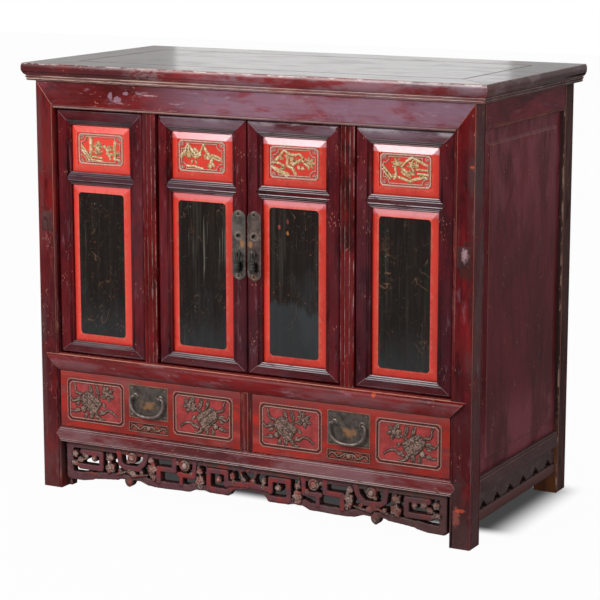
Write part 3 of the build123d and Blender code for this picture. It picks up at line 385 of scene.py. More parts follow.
@cache
def black_field():
    """Black lacquer with the last traces of a painted plant, and dust towards the foot."""
    c = colours()
    f = Finish("black_field")
    streak = f.noise(120, (1, 1, 0.05), 3, 0.6)
    wide = f.noise(34, (1, 1, 0.05), 3, 0.6, 6)
    f.base = f.mix(f.band(streak, 0.4, 0.8), c.black[:], toned(c.black, 2.0))
    brushed = f.band(wide, 0.5, 0.7) * f.band(streak, 0.42, 0.62)
    f.coat((0.050, 0.043, 0.034), brushed, 0.8)
    hair = f.band(f.noise(330, (1, 1, 0.018), 2, 0.5, 12), 0.62, 0.70)
    door = 0.35 + f.ramp("X", -0.21, -0.19) * f.ramp("X", -0.02, -0.04)
    patchy = f.band(f.noise(11, (1, 1, 0.5), 4, 0.6, 22), 0.42, 0.60)
    f.coat((0.125, 0.115, 0.095), hair * door, patchy * 0.8)
    gate = f.band(f.noise(9, (1.4, 1, 0.7), 4, 0.65, 7), 0.50, 0.60)
    broken = f.band(f.noise(190, detail=3, shift=1), 0.45, 0.57)
    for scale, shift, share, tone in ((15, 3, 0.85, (0.165, 0.085, 0.045)),
            (34, 43, 0.7, (0.150, 0.085, 0.055)), (52, 63, 0.5, (0.150, 0.125, 0.100))):
        stem = f.absolute(f.noise(scale, (1.2, 1, 0.8), 2, 0.5, shift, 0.4) - 0.5)
        piece = f.band(stem, 0.011, 0.004) * f.band(f.noise(2.2 * scale, shift=shift + 5), 0.5, 0.6)
        f.coat(tone, piece * (0.25 + gate * 0.75), share)
    bloom = f.band(f.noise(24, (1, 1, 1), 5, 0.7, 27, 0.8), 0.56, 0.66) * gate
    f.coat((0.110, 0.048, 0.024), bloom * broken, 0.45)
    spot = f.band(f.cells(90, shift=4), 0.3, 0.16) * f.band(f.noise(13, detail=4, shift=9), 0.57, 0.68)
    f.coat((0.30, 0.075, 0.030), spot * broken, 0.55)
    pale = f.band(f.cells(120, shift=14), 0.18, 0.1) * f.band(f.noise(20, shift=19), 0.6, 0.7)
    f.coat((0.36, 0.33, 0.28), pale, 0.75)
    for x, z, tone in ((0.078, 0.655, (0.5, 0.07, 0.05)), (0.099, 0.643, (0.66, 0.20, 0.04)),
            (0.099, 0.668, (0.3, 0.05, 0.04))):
        f.coat(tone, f.stain(x, z, 3 * MM, 5 * MM), 0.7)
    rub = f.noise(9, (1, 1, 0.35), 5, 0.65, 15)
    lift = f.swing(rub, 0.12) + f.swing(wide, 0.09)
    height = f.axis("Z") + lift
    right_door = f.ramp("X", 0.0, 0.02) * f.ramp("X", 0.26, 0.24)
    film = f.band(height, 0.5, 0.484) * right_door * (0.45 + wide * 0.6)
    dust = f.most(f.band(height, 0.47, 0.38) * 0.5, film)
    dust = dust + f.band(rub, 0.54, 0.72) * 0.4
    f.coat((0.040, 0.044, 0.047), dust)
    f.bump(streak, 0.1 * MM, 0.3)
    return f.done(0.24 + dust * 0.25, 0.2)


@cache
def rust_red():
    """Lacquer of the drawer fronts, duller and streaked sideways."""
    c = colours()
    f = Finish("rust_red")
    cloud = f.noise(9, (0.35, 1, 1), 4, 0.6, 21)
    streak = f.noise(210, (0.06, 1, 1), 3, 0.6, 3)
    f.base = f.mix(f.band(cloud, 0.35, 0.68), toned(c.rust, 0.72), toned(c.rust, 1.2))
    f.coat(toned(c.rust, 0.4), f.band(streak, 0.5, 0.8), 0.35)
    rub = f.noise(70, (0.4, 1, 1), 3)
    edge = f.band(f.attribute("wear") + f.swing(rub, 1.2), 0.45, 0.8)
    top = f.ramp("Z", 0.258, 0.28) * 0.5
    haze = f.band(f.noise(16, (0.5, 1, 1), 5, 0.65, 8), 0.50, 0.74)
    dull = f.noise(24, (0.4, 1, 1), 5, 0.65, 31, 0.5)
    f.coat((0.170, 0.030, 0.032), f.band(dull, 0.46, 0.62), 0.65)
    f.coat((0.33, 0.135, 0.135), f.most(haze, top), 0.50)
    f.coat(c.worn[:], edge, 0.8)
    fleck = f.band(f.cells(150, shift=3), 0.24, 0.13) * f.band(f.noise(26, shift=6), 0.58, 0.68)
    f.coat((0.06, 0.015, 0.012), fleck, 0.8)
    # painted shade in grooves
    f.coat((0.02, 0.006, 0.005), f.attribute("hollow"), 0.9)
    f.bump(streak, 0.15 * MM, 0.4)
    return f.done(0.32 + cloud * 0.12, 0.3)


@cache
def carved(name, ground, raised, line, crest, gloss=0.4, specular=0.35, remains=None, shade=0.92, dull=None):
    """Carved and painted wood: attribute paint picks the coat; relief, the height, makes the low parts darker
    with painted shade and the crests pale with rubbing and painted highlight.

    remains is old paint left on the raised parts, shade the strength of the painted shade in the hollows, dull
    a mask where a dull brown is laid.
    """
    f = Finish(name)
    paint, relief = f.attribute("paint"), f.attribute("relief")
    fine = f.noise(420, detail=4, rough=0.6)
    blot = f.noise(70, detail=4, rough=0.6, shift=4)
    f.base = f.mix(f.band(blot, 0.35, 0.7), toned(ground, 0.75), toned(ground, 1.15))
    f.coat(tuple(0.6 * v + 0.11 for v in ground), f.band(f.noise(40, detail=4, shift=24), 0.5, 0.7), 0.35)
    cut = f.noise(210, detail=3, rough=0.6, shift=14)
    height = relief + (f.swing(blot, 0.5) + f.swing(cut, 1.5))
    # painted shade and highlight: the low relief darker and the crests pale; the pale crests also stand for
    # rubbed gilding and paint
    lifted = f.mix(f.band(height, 0.34, 0.72), toned(raised, 0.26), raised)
    lifted = f.mix(f.band(height, 0.78, 1.12) * 0.95, lifted, crest)
    lined = f.mix(f.band(fine, 0.42, 0.62), toned(line, 0.6), line)
    if remains:
        kept = f.band(f.noise(55, detail=4, rough=0.65, shift=34), 0.50, 0.58)
        lifted = f.mix(kept * 0.65, lifted, remains)
        lined = f.mix(f.band(f.noise(28, detail=4, rough=0.65, shift=44), 0.5, 0.6) * 0.8, lined, remains)
    f.coat(lined, f.band(paint + f.swing(fine, 0.25), 0.30, 0.40))
    f.coat(lifted, f.band(paint + f.swing(blot, 0.3), 0.72, 0.84))
    if dull:
        f.coat((0.075, 0.044, 0.036), dull(f))
    # painted shade in the hollows
    hollow = f.band(f.attribute("hollow"), 0.12, 0.62)
    f.coat((0.022, 0.008, 0.006), hollow, shade)
    f.bump(fine, 0.2 * MM, 0.5)
    return f.done(gloss + fine * 0.2, specular)


@cache
def old_bronze(name, tone, patch=0.6, metallic=0.55, rough=0.34, spots=()):
    """Old bronze, mottled, rubbed warm where hands and handles touch."""
    c = colours()
    f = Finish(name)
    blot = f.noise(60, detail=5, rough=0.65)
    fine = f.noise(380, detail=3, rough=0.6, shift=2)
    f.base = f.mix(f.band(blot, 0.32, 0.68), toned(tone, 0.45), toned(tone, 1.5))
    f.coat(toned(tone, 2.0), f.band(fine, 0.45, 0.75), 0.35)
    warm = f.band(f.attribute("warm") + f.swing(blot, 1.3), 0.52, 0.92)
    f.coat(c.brass[:], warm, patch)
    edge = f.band(f.attribute("wear") + f.swing(fine, 0.9), 0.45, 0.85)
    f.coat((0.42, 0.32, 0.24), edge, 0.65)
    for x, z, half_w, half_h, spot in spots:
        f.coat(spot, f.stain(x, z, half_w, half_h, 1.2), 0.9)
    # painted shade in hollows and grooves
    f.coat((0.008, 0.006, 0.005), f.attribute("hollow"), 0.95)
    f.bump(blot + fine * 0.5, 0.3 * MM, 0.6)
    return f.done(rough + blot * 0.22, 0.5, metallic=metallic)


def plain_wood(name, tone, along, specular=0.25):
    """Unlacquered wood with its grain, dusty with age."""
    f = Finish(name)
    grain = ALONG[along]
    ring = f.noise(70, tuple(0.25 * g if g < 1 else g for g in grain), 5, 0.6, twist=0.3)
    fibre = f.noise(420, grain, 3, 0.6, 3)
    blot = f.noise(5, detail=4, shift=5)
    f.base = f.mix(f.band(ring, 0.32, 0.68), toned(tone, 0.6), tone)
    f.coat(toned(tone, 0.45), f.band(fibre, 0.45, 0.8), 0.45)
    f.coat(toned(tone, 0.5), f.band(blot, 0.45, 0.75), 0.4)
    f.bump(ring + fibre, 0.3 * MM, 0.4)
    return f.done(0.62, specular)


def slab_lacquer(along, shift=0.0):
    """Dark, dusty lacquer of the top, rubbed along the boards; red lacquer on its moulded edge."""
    c = colours()
    f = Finish(f"slab_lacquer_{along}")
    grain = ALONG[along]
    a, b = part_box("top_panel")
    cloud = f.noise(4.5, eased(grain, 0.4), 4, 0.6, shift)
    streak = f.noise(150, grain, 4, 0.65, shift + 1)
    f.base = f.mix(f.band(cloud, 0.36, 0.7), (0.040, 0.020, 0.020), (0.095, 0.040, 0.036))
    f.coat((0.16, 0.135, 0.135), f.band(streak, 0.45, 0.75), 0.5)
    stain = f.noise(13, (0.6, 1, 1), 4, 0.6, shift + 7)
    f.coat((0.05, 0.02, 0.018), f.band(stain, 0.60, 0.74), 0.5)
    beside = [f.absolute(f.axis(letter) - (a[i] + b[i]) / 2) - (b[i] - a[i]) / 2
        for i, letter in ((0, "X"), (1, "Y"))]
    joint = f.absolute(f.sum(*beside, "MAXIMUM"))
    joint = f.band(joint, 2.4 * MM, 1.0 * MM) * f.ramp("Z", b.z - 3 * MM, b.z - 1 * MM)
    rub = f.noise(60, eased(grain, 0.3), 3, shift=shift + 3)
    edge = f.band(f.attribute("wear") + f.swing(rub, 1.1), 0.32, 0.62)
    on_top = f.ramp("Z", b.z - 1.2 * MM, b.z - 0.4 * MM)
    brown = c.side_brown[:]
    dull, fresh = (c.oxblood[:], toned(c.maroon, 1.2)) if along == "x" else (toned(brown, 0.6), brown)
    red = f.mix(f.band(cloud, 0.38, 0.60), dull, fresh)
    patch = f.band(f.noise(11, (0.7, 1, 1.6), 4, 0.6, shift + 9), 0.52, 0.70)
    red = f.mix(patch * 0.6, red, f.mix(f.band(streak, 0.35, 0.7), (0.16, 0.075, 0.085), (0.36, 0.250, 0.275)))
    if along == "x":
        lilac = f.ramp("X", -0.17, -0.05) * f.band(f.noise(22, (0.4, 1, 1), 5, 0.7, 71), 0.42, 0.62)
        red = f.mix(lilac * 0.55, red, (0.36, 0.26, 0.32))
    blotch = f.band(f.noise(34, (0.5, 1, 1.2), 5, 0.7, shift + 19), 0.54, 0.66)
    red = f.mix(blotch * 0.45, red, (0.035, 0.012, 0.014))
    worn_place = f.band(f.absolute(f.axis("X") + 0.24), 0.075, 0.015)
    worn_place = worn_place * f.band(f.noise(90, (0.5, 1, 1), 5, 0.7, 61), 0.44, 0.56)
    red = f.mix(worn_place * (0.45 if along == "x" else 0.0), red, (0.42, 0.29, 0.29))
    near_top = f.ramp("Z", b.z - 11 * MM, b.z - 1 * MM)
    chip = f.swing(f.noise(46, (0.6, 1, 1), 4, 0.6, shift + 13), 1.3) + near_top
    red = f.mix(f.band(chip, 0.92, 1.04) * (0.85 if along == "x" else 0.15), red, (0.62, 0.52, 0.50))
    red = f.mix(f.band(streak, 0.5, 0.8) * 0.35, red, (0.05, 0.01, 0.01))
    f.base = f.mix(on_top, red, f.base)
    f.coat((0.010, 0.005, 0.005), joint, 0.85)
    fleck = f.band(f.cells(110, shift=shift), 0.25, 0.12) * f.band(f.noise(20, shift=shift + 6), 0.6, 0.68)
    f.coat(c.worn[:], fleck, 0.6)
    tan = (0.50, 0.30, 0.26) if along == "x" else (0.24, 0.12, 0.10)
    beads = 0.4 + f.ramp("X", 0.05, -0.3) * 0.45
    beads = f.ramp("Z", 0.959, 0.957) * beads * f.band(streak, 0.66, 0.44)
    f.coat((0.55, 0.34, 0.28), beads, 1.0 if along == "x" else 0.2)
    f.coat(tan, edge, 0.85)
    # painted shade in grooves, weaker on the beads
    f.coat((0.016, 0.006, 0.005), f.attribute("hollow"), 0.9 + beads * -0.7)
    rough = 0.15 + f.band(stain, 0.45, 0.7) * 0.05 + f.band(streak, 0.4, 0.8) * 0.06
    rough = rough + joint * 0.6
    f.bump(streak * 0.4 + edge * -0.5, 0.2 * MM, 0.22)
    return f.done(rough + (1.0 + on_top * -1.0) * 0.12, 0.5 if along == "x" else 0.36)


# ---- mesh helpers

def link(name, mesh, *materials):
    obj = bpy.data.objects.new(name, mesh)
    bpy.context.scene.collection.objects.link(obj)
    for material in materials:
        mesh.materials.append(material)
    return obj


def smoothed(mesh, sharp=None):
    """Smooth shading, with edges above an angle in degrees kept sharp."""
    mesh.shade_smooth()
    if sharp:
        mesh.set_sharp_from_angle(angle=radians(sharp))


def weighted(obj):
    """Smooth shading that keeps flat faces flat; the modifier is applied to the mesh."""
    smoothed(obj.data, 50)
    modifier = obj.modifiers.new("Weighted normals", "WEIGHTED_NORMAL")
    modifier.keep_sharp = True
    modifier.weight = 90
    baked(obj)


def baked(obj):
    """The object's modifiers are applied and removed."""
    shown = obj.evaluated_get(bpy.context.evaluated_depsgraph_get())
    mesh = bpy.data.meshes.new_from_object(shown)
    obj.modifiers.clear()
    old, obj.data = obj.data, mesh
    bpy.data.meshes.remove(old)


def settle(obj, node, whole=True):
    """Hands a finished piece over: it rides on the node's body and, if it is the whole node, stands for it."""
    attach(obj, frame["nodes"][node]["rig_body"])
    if whole:
        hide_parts(node)


WIDE_FACE = 4 * MM           # wider faces than this aren't part of a bead or a groove
FULL_WEAR_BEND = 400.0       # bend of a fully rubbed bead, in radians per metre
FITTING_WEAR_BEND = 1500.0   # the same on the small fittings


def mark_edges(work, upright=1.0, full=FULL_WEAR_BEND):
    """Corner attributes: wear on arrises and beads, hollow in narrow grooves as a mask of painted shade;
    upright scales standing ones.
    """
    wear, hollow = work.loops.layers.float.new("wear"), work.loops.layers.float.new("hollow")
    area = {face: face.calc_area() for face in work.faces}
    bend = {}
    for edge in work.edges:
        if len(edge.link_faces) != 2 or edge.calc_length() < 1e-6:
            continue
        span = min(area[face] for face in edge.link_faces) / edge.calc_length()
        bend[edge] = edge.calc_face_angle_signed() / max(span, 0.2 * MM) / full
    longest = {face: max(edge.calc_length() for edge in face.edges) for face in work.faces}
    wide = {face: area[face] / longest[face] > WIDE_FACE for face in work.faces}
    for face in work.faces:
        if wide[face]:
            continue
        for corner in face.loops:
            sides = [edge for edge in (corner.edge, corner.link_loop_prev.edge)
                if edge.calc_length() > 0.5 * longest[face]]
            bends = [bend.get(edge, 0.0) for edge in sides] or [0.0]
            share = 0.4 if any(wide[other] for other in corner.vert.link_faces) else 1.0
            if sides and abs(sides[0].verts[0].co.z - sides[0].verts[1].co.z) > 0.7 * sides[0].calc_length():
                share *= upright
            corner[wear] = min(1.0, max(0.0, max(bends))) * share
            corner[hollow] = min(1.0, max(0.0, -min(bends)) * 0.6)


def dress(node, material, arris=None, upright=1.0, level=None, extra=(), shortest=0.0):
    """A node's own shape with rounded, rubbed arrises.

    level is the finish of its bars that lie along X; extra holds boxes, as pairs of corners, that join it;
    arrises under the shortest length stay sharp.
    """
    arris = sizes().arris if arris is None else arris
    work = bmesh.new()
    work.from_mesh(frame["nodes"][node].data)
    bmesh.ops.remove_doubles(work, verts=work.verts, dist=1e-5)
    bmesh.ops.dissolve_limit(work, angle_limit=radians(1.5), verts=work.verts, edges=work.edges)
    sharp = [edge for edge in work.edges if len(edge.link_faces) == 2 and edge.is_convex
        and edge.calc_length() > max(5 * arris, shortest) and edge.calc_face_angle() > radians(35)]
    if sharp:
        bmesh.ops.bevel(work, geom=sharp, offset=arris, segments=2, profile=0.5, affect="EDGES",
            clamp_overlap=False)
    for a, b in extra:
        size = Vector(b) - Vector(a)
        bmesh.ops.create_cube(work, size=1, matrix=Matrix.Translation(Vector(a)
            + size / 2) @ Matrix.Diagonal((*size, 1)))
    mark_edges(work, upright)
    for face in work.faces if level else ():
        run = max(face.edges, key=lambda edge: edge.calc_length())
        run = run.verts[1].co - run.verts[0].co
        face.material_index = 1 if abs(run.x) > 0.9 * run.length else 0
    mesh = bpy.data.meshes.new(f"{node}_finished")
    work.to_mesh(mesh)
    work.free()
    obj = link(mesh.name, mesh, material, *([level] if level else []))
    weighted(obj)
    settle(obj, node)


def loops_to_mesh(loops, material_at=None):
    """Rings of points joined in turn, the last one filled; all rings have as many points."""
    work = bmesh.new()
    rings = [[work.verts.new(point) for point in loop] for loop in loops]
    made = []
    for k, (ring, after) in enumerate(zip(rings, rings[1:])):
        for i in range(len(ring)):
            j = (i + 1) % len(ring)
            made.append((work.faces.new((ring[i], ring[j], after[j], after[i])), k))
    made.append((work.faces.new(rings[-1]), len(rings) - 1))
    work.faces.new(list(reversed(rings[0])))
    for face, k in made if material_at else ():
        face.material_index = material_at(k)
    bmesh.ops.remove_doubles(work, verts=work.verts, dist=1e-6)
    bmesh.ops.dissolve_degenerate(work, edges=work.edges, dist=1e-7)
    bmesh.ops.recalc_face_normals(work, faces=work.faces)
    return work


# ---- carved surfaces

def blurred(grid, times):
    for _ in range(times):
        grid = (grid + np.roll(grid, 1, 0) + np.roll(grid, -1, 0) + np.roll(grid, 1, 1)
            + np.roll(grid, -1, 1)) / 5
    return grid


class Relief:
    """Heights over a grid in the plane of a board, with the coat of paint at each point; in metres."""

    def __init__(self, width, height, cell):
        self.cell = cell
        self.u, self.v = np.meshgrid(np.arange(-width / 2, width / 2 + cell / 2, cell),
            np.arange(-height / 2, height / 2 + cell / 2, cell))
        self.height = np.zeros_like(self.u)
        self.paint = np.zeros_like(self.u)
        self.body = np.full_like(self.u, -1.0)
        # dark marks, laid into the mask of painted shade
        self.dark = np.zeros_like(self.u)

    def lay(self, heights, paint):
        """Takes the new heights where they are higher."""
        won = heights > self.height
        self.height = np.where(won, heights, self.height)
        self.paint = np.where(won, paint, self.paint)

    def along(self, points):
        """Distance to a line through the points, and how far along it each grid point lies (0 to 1)."""
        best = np.full_like(self.u, np.inf)
        share = np.zeros_like(self.u)
        total = sum(hypot(b[0] - a[0], b[1] - a[1]) for a, b in zip(points, points[1:]))
        gone = 0.0
        for (ax, ay), (bx, by) in zip(points, points[1:]):
            size = hypot(bx - ax, by - ay)
            t = np.clip(((self.u - ax) * (bx - ax) + (self.v - ay) * (by - ay)) / size ** 2, 0, 1)
            d = np.hypot(self.u - ax - t * (bx - ax), self.v - ay - t * (by - ay))
            nearer = d < best
            best = np.where(nearer, d, best)
            share = np.where(nearer, (gone + t * size) / total, share)
            gone += size
        return best, share

    def stroke(self, points, start, end, height, paint=1.0, flat=0.0):
        """A round bar along the points, its half-width going from start to end."""
        distance, share = self.along(points)
        half = start + (end - start) * share
        inside = np.clip(1 - (distance / half) ** 2, 0, 1)
        self.lay(height * np.minimum(1, inside / (1 - flat) if flat < 1 else inside) ** 0.5, paint)
        return distance - half

    def leaf(self, x, y, angle, size, width, height, paint=1.0, crease=0.45):
        """A pointed leaf from its foot at (x, y), creased along its middle."""
        c, s = cos(radians(angle)), sin(radians(angle))
        a = (self.u - x) * c + (self.v - y) * s
        b = -(self.u - x) * s + (self.v - y) * c
        share = np.clip(a / size, 0, 1)
        half = width / 2 * np.sin(pi * share ** 0.8) ** 0.8 + 1e-6
        inside = np.where((a > 0) & (a < size), np.clip(1 - (b / half) ** 2, 0, 1), 0)
        self.lay(height * inside ** 0.5 * (1 - crease * np.exp(-(b / (0.13 * width)) ** 2)), paint)

    def blossom(self, x, y, radius, petals, height, paint=1.0, turn=0.0):
        """Round petals about a small dome."""
        for i in range(petals):
            angle = turn + 360 * i / petals
            self.leaf(x, y, angle, radius, radius * 1.5 * pi / petals, height, paint, 0.3)
        d = np.hypot(self.u - x, self.v - y) / (0.30 * radius)
        self.lay(1.25 * height * np.clip(1 - d ** 2, 0, 1) ** 0.5, paint)

    def outline(self, points, half, height, paint=0.5):
        """A closed raised line."""
        self.stroke(points + points[:1], half, half, height, paint)

    def hollow(self):
        """How far each point lies below its surroundings, or is marked dark, 0 to 1: the mask of painted shade.
        """
        wide = blurred(self.height, 14)
        top = max(self.height.max(), 1e-6)
        return np.maximum(self.dark, np.clip((wide - self.height) / (0.20 * top), 0, 1))

    def chisel(self, depth, seed):
        """Uneven cuts over the painted relief, as a carver's gouge leaves."""
        marks = blurred(np.random.default_rng(seed).standard_normal(self.height.shape), 3)
        marks /= marks.std()
        self.height = np.where(self.paint > 0.6, self.height * (1 - depth * np.abs(marks)), self.height)

    def roughen(self, size, seed):
        self.height += size * np.random.default_rng(seed).standard_normal(self.height.shape)

    def board(self, name, place, depth, material, sharp, node, whole=False):
        """Hands the relief over as a closed piece of a node.

        place maps (u, v, out) arrays to points; depth is how far back it goes. A board whose body has been set
        is cut to where body is positive.
        """
        u, v, inside = self.u.copy(), self.v.copy(), np.ones_like(self.u, bool)
        if self.body.max() > 0:
            gv, gu = np.gradient(self.body, self.cell)
            steep = np.maximum(gu ** 2 + gv ** 2, 0.25)
            near = np.abs(self.body) < 0.6 * self.cell
            u = np.where(near, u - self.body * gu / steep, u)
            v = np.where(near, v - self.body * gv / steep, v)
            inside = near | (self.body > 0)
        rows, columns = u.shape
        index = np.arange(rows * columns).reshape(rows, columns)
        a, b = index[:-1, :-1].ravel(), index[:-1, 1:].ravel()
        d, c = index[1:, :-1].ravel(), index[1:, 1:].ravel()
        keep = inside.ravel()
        quads = np.stack([a, b, c, d], 1)
        full = keep[quads].all(1)
        three = keep[quads].sum(1) == 3
        faces = [tuple(q) for q in quads[full].tolist()]
        faces += [tuple(i for i in q if keep[i]) for q in quads[three].tolist()]
        used = sorted({i for face in faces for i in face})
        fresh = {old: new for new, old in enumerate(used)}
        faces = [tuple(fresh[i] for i in face) for face in faces]
        edges = dict.fromkeys(pair for face in faces for pair in zip(face, face[1:] + face[:1]))
        rim = [(i, j) for i, j in edges if (j, i) not in edges]
        u, v, out = (array.ravel()[used] for array in (u, v, self.height))
        front, back = place(u, v, out), place(u, v, np.full_like(u, -depth))
        count = len(used)
        points = np.concatenate([front, back])
        faces += [tuple(i + count for i in reversed(face)) for face in faces]
        faces += [(j, i, i + count, j + count) for i, j in rim]
        mesh = bpy.data.meshes.new(name)
        mesh.from_pydata(points.tolist(), [], faces)
        top = max(self.height.max(), 1e-6)
        for label, values in (("paint", self.paint), ("relief", self.height / top), ("hollow", self.hollow())):
            data = mesh.attributes.new(label, "FLOAT", "POINT").data
            values = values.ravel()[used]
            data.foreach_set("value", np.concatenate([values, values]).astype(np.float32))
        mesh.validate()
        smoothed(mesh, sharp)
        settle(link(name, mesh, material), node, whole)


def facing_front(x, y, z):
    """Place for a relief that looks forwards, centred at (x, y, z)."""
    return lambda u, v, out: np.stack([x + u, y - out, z + v], 1)


def facing_side(sign, x, y, z):
    """Place for a relief on the left (-1) or right (+1) side; u runs so that faces look outwards."""
    return lambda u, v, out: np.stack([x + sign * out, y + sign * u, z + v], 1)


def clipped(half_w, half_h, clip):
    """Rectangle with its corners cut off."""
    return [(-half_w + clip, -half_h), (half_w - clip, -half_h), (half_w, -half_h + clip),
        (half_w, half_h - clip), (half_w - clip, half_h), (-half_w + clip, half_h), (-half_w, half_h - clip),
        (-half_w, -half_h + clip)]


def stepped(half_w, half_h, step):
    """Rectangle whose corners step inwards twice."""
    points = []
    for sx, sy in ((-1, -1), (1, -1), (1, 1), (-1, 1)):
        corner = [(sx * half_w, sy * (half_h - step)), (sx * (half_w - 0.45 * step), sy * (half_h - step)),
            (sx * (half_w - step), sy * (half_h - 0.45 * step)), (sx * (half_w - step), sy * half_h)]
        points += corner if sx * sy > 0 else corner[::-1]
    return points


def scaled(points, mirrored=False):
    """Millimetre points as metres, turned about the middle if mirrored."""
    sign = -1 if mirrored else 1
    return [(sign * x * MM, y * MM) for x, y in points]


# ---- carcase

def stripe(f, value, middle, half):
    """1 within half of the middle, softly down to 0."""
    return f.band(f.absolute(value - middle), half * 1.25, half * 0.55)


def base_lines(f):
    """Pairs of fine rubbed lines along both edges of the bottom rail."""
    z = f.axis("Z")
    low_pair = f.most(stripe(f, z, 0.1135, 0.7 * MM), stripe(f, z, 0.1175, 0.7 * MM))
    low_pair = low_pair * (0.45 + f.ramp("X", -0.35, 0.05) * 0.5)
    return f.most(low_pair, stripe(f, z, 0.1445, 0.8 * MM) * 0.6)


def top_rail_sheen(f):
    """Painted grey sheen on the top rails of the leaves, away from the left one."""
    return f.ramp("Z", 0.85, 0.866) * f.ramp("X", -0.26, -0.2)


def rail_glints(f):
    """Painted highlights: fine glinting lines along the mouldings above and below the leaves' panels, stronger
    to the right, and a painted sheen along the leaves' top edge.
    """
    lower, upper = panel_opening("left_leaf_lower_panel"), panel_opening("left_leaf_carved_panel")
    shown = 0.0
    for edge, sign in ((upper[3], 1), (upper[2], -1), (lower[3], 1), (lower[2], -1)):
        out = (f.axis("Z") - edge) * sign
        for at in (1.2, 5.2, 9.2):
            shown = f.most(shown, stripe(f, out, at * MM, 0.75 * MM))
    shown = shown * (0.2 + f.ramp("X", -0.3, 0.08) * 0.72)
    sheen = f.ramp("Z", 0.866, 0.881) * f.band(f.noise(40, (0.25, 1, 1), 5, 0.7, 58), 0.44, 0.62)
    return f.most(shown, sheen * (f.ramp("X", -0.3, 0.15) * 0.5))


def reed_lines(f):
    """Pale flecked lines along the reeds."""
    x, shown = f.absolute(f.axis("X")), 0.0
    for at in (0.2305, 0.2400, 0.2515, 0.2610):
        shown = f.most(shown, stripe(f, x, at, 0.7 * MM))
    return shown * (f.band(f.noise(30, (1, 1, 0.6), 5, 0.7, 52), 0.44, 0.62) * 0.8)


def post_foot(f):
    """Brown dirt at the feet of the posts, higher on the right one, and along their outer arrises."""
    out = f.band(f.absolute(f.axis("X")), 0.520, 0.530)
    foot = f.most(f.ramp("Z", 0.16, 0.06) * 0.9, f.ramp("Z", 0.42, 0.14) * f.ramp("X", 0.4, 0.48) * 0.8)
    return f.most(foot, out * 0.75)


def rear_line(f):
    """Pale flecks along the rear posts' arris beside the side panels."""
    flecks = f.band(f.noise(110, (1, 1, 0.35), 5, 0.7, 53), 0.50, 0.60)
    near = stripe(f, f.axis("Y"), low("rear_left_post").y + 1.0 * MM, 2.4 * MM)
    out = f.band(f.absolute(f.axis("X")), high("rear_right_post").x - 3.0 * MM, high("rear_right_post").x
        - 1.8 * MM)
    return near * out * (flecks * 0.8)


def rear_bare(f):
    """Bare orange wood on the rear feet, where they face forwards."""
    near = f.ramp("Y", low("rear_left_post").y + 1.5 * MM, low("rear_left_post").y + 0.4 * MM)
    return near * f.ramp("Z", 0.19, 0.12)


def rubbed_line(name, at, half, strength, tone):
    """A rubbed line at a height or, for X, at one distance on both sides of the middle; with its colour."""
    def mask(f):
        place = f.axis(name)
        return stripe(f, f.absolute(place) if name == "X" else place, at, half) * strength
    return mask, tone


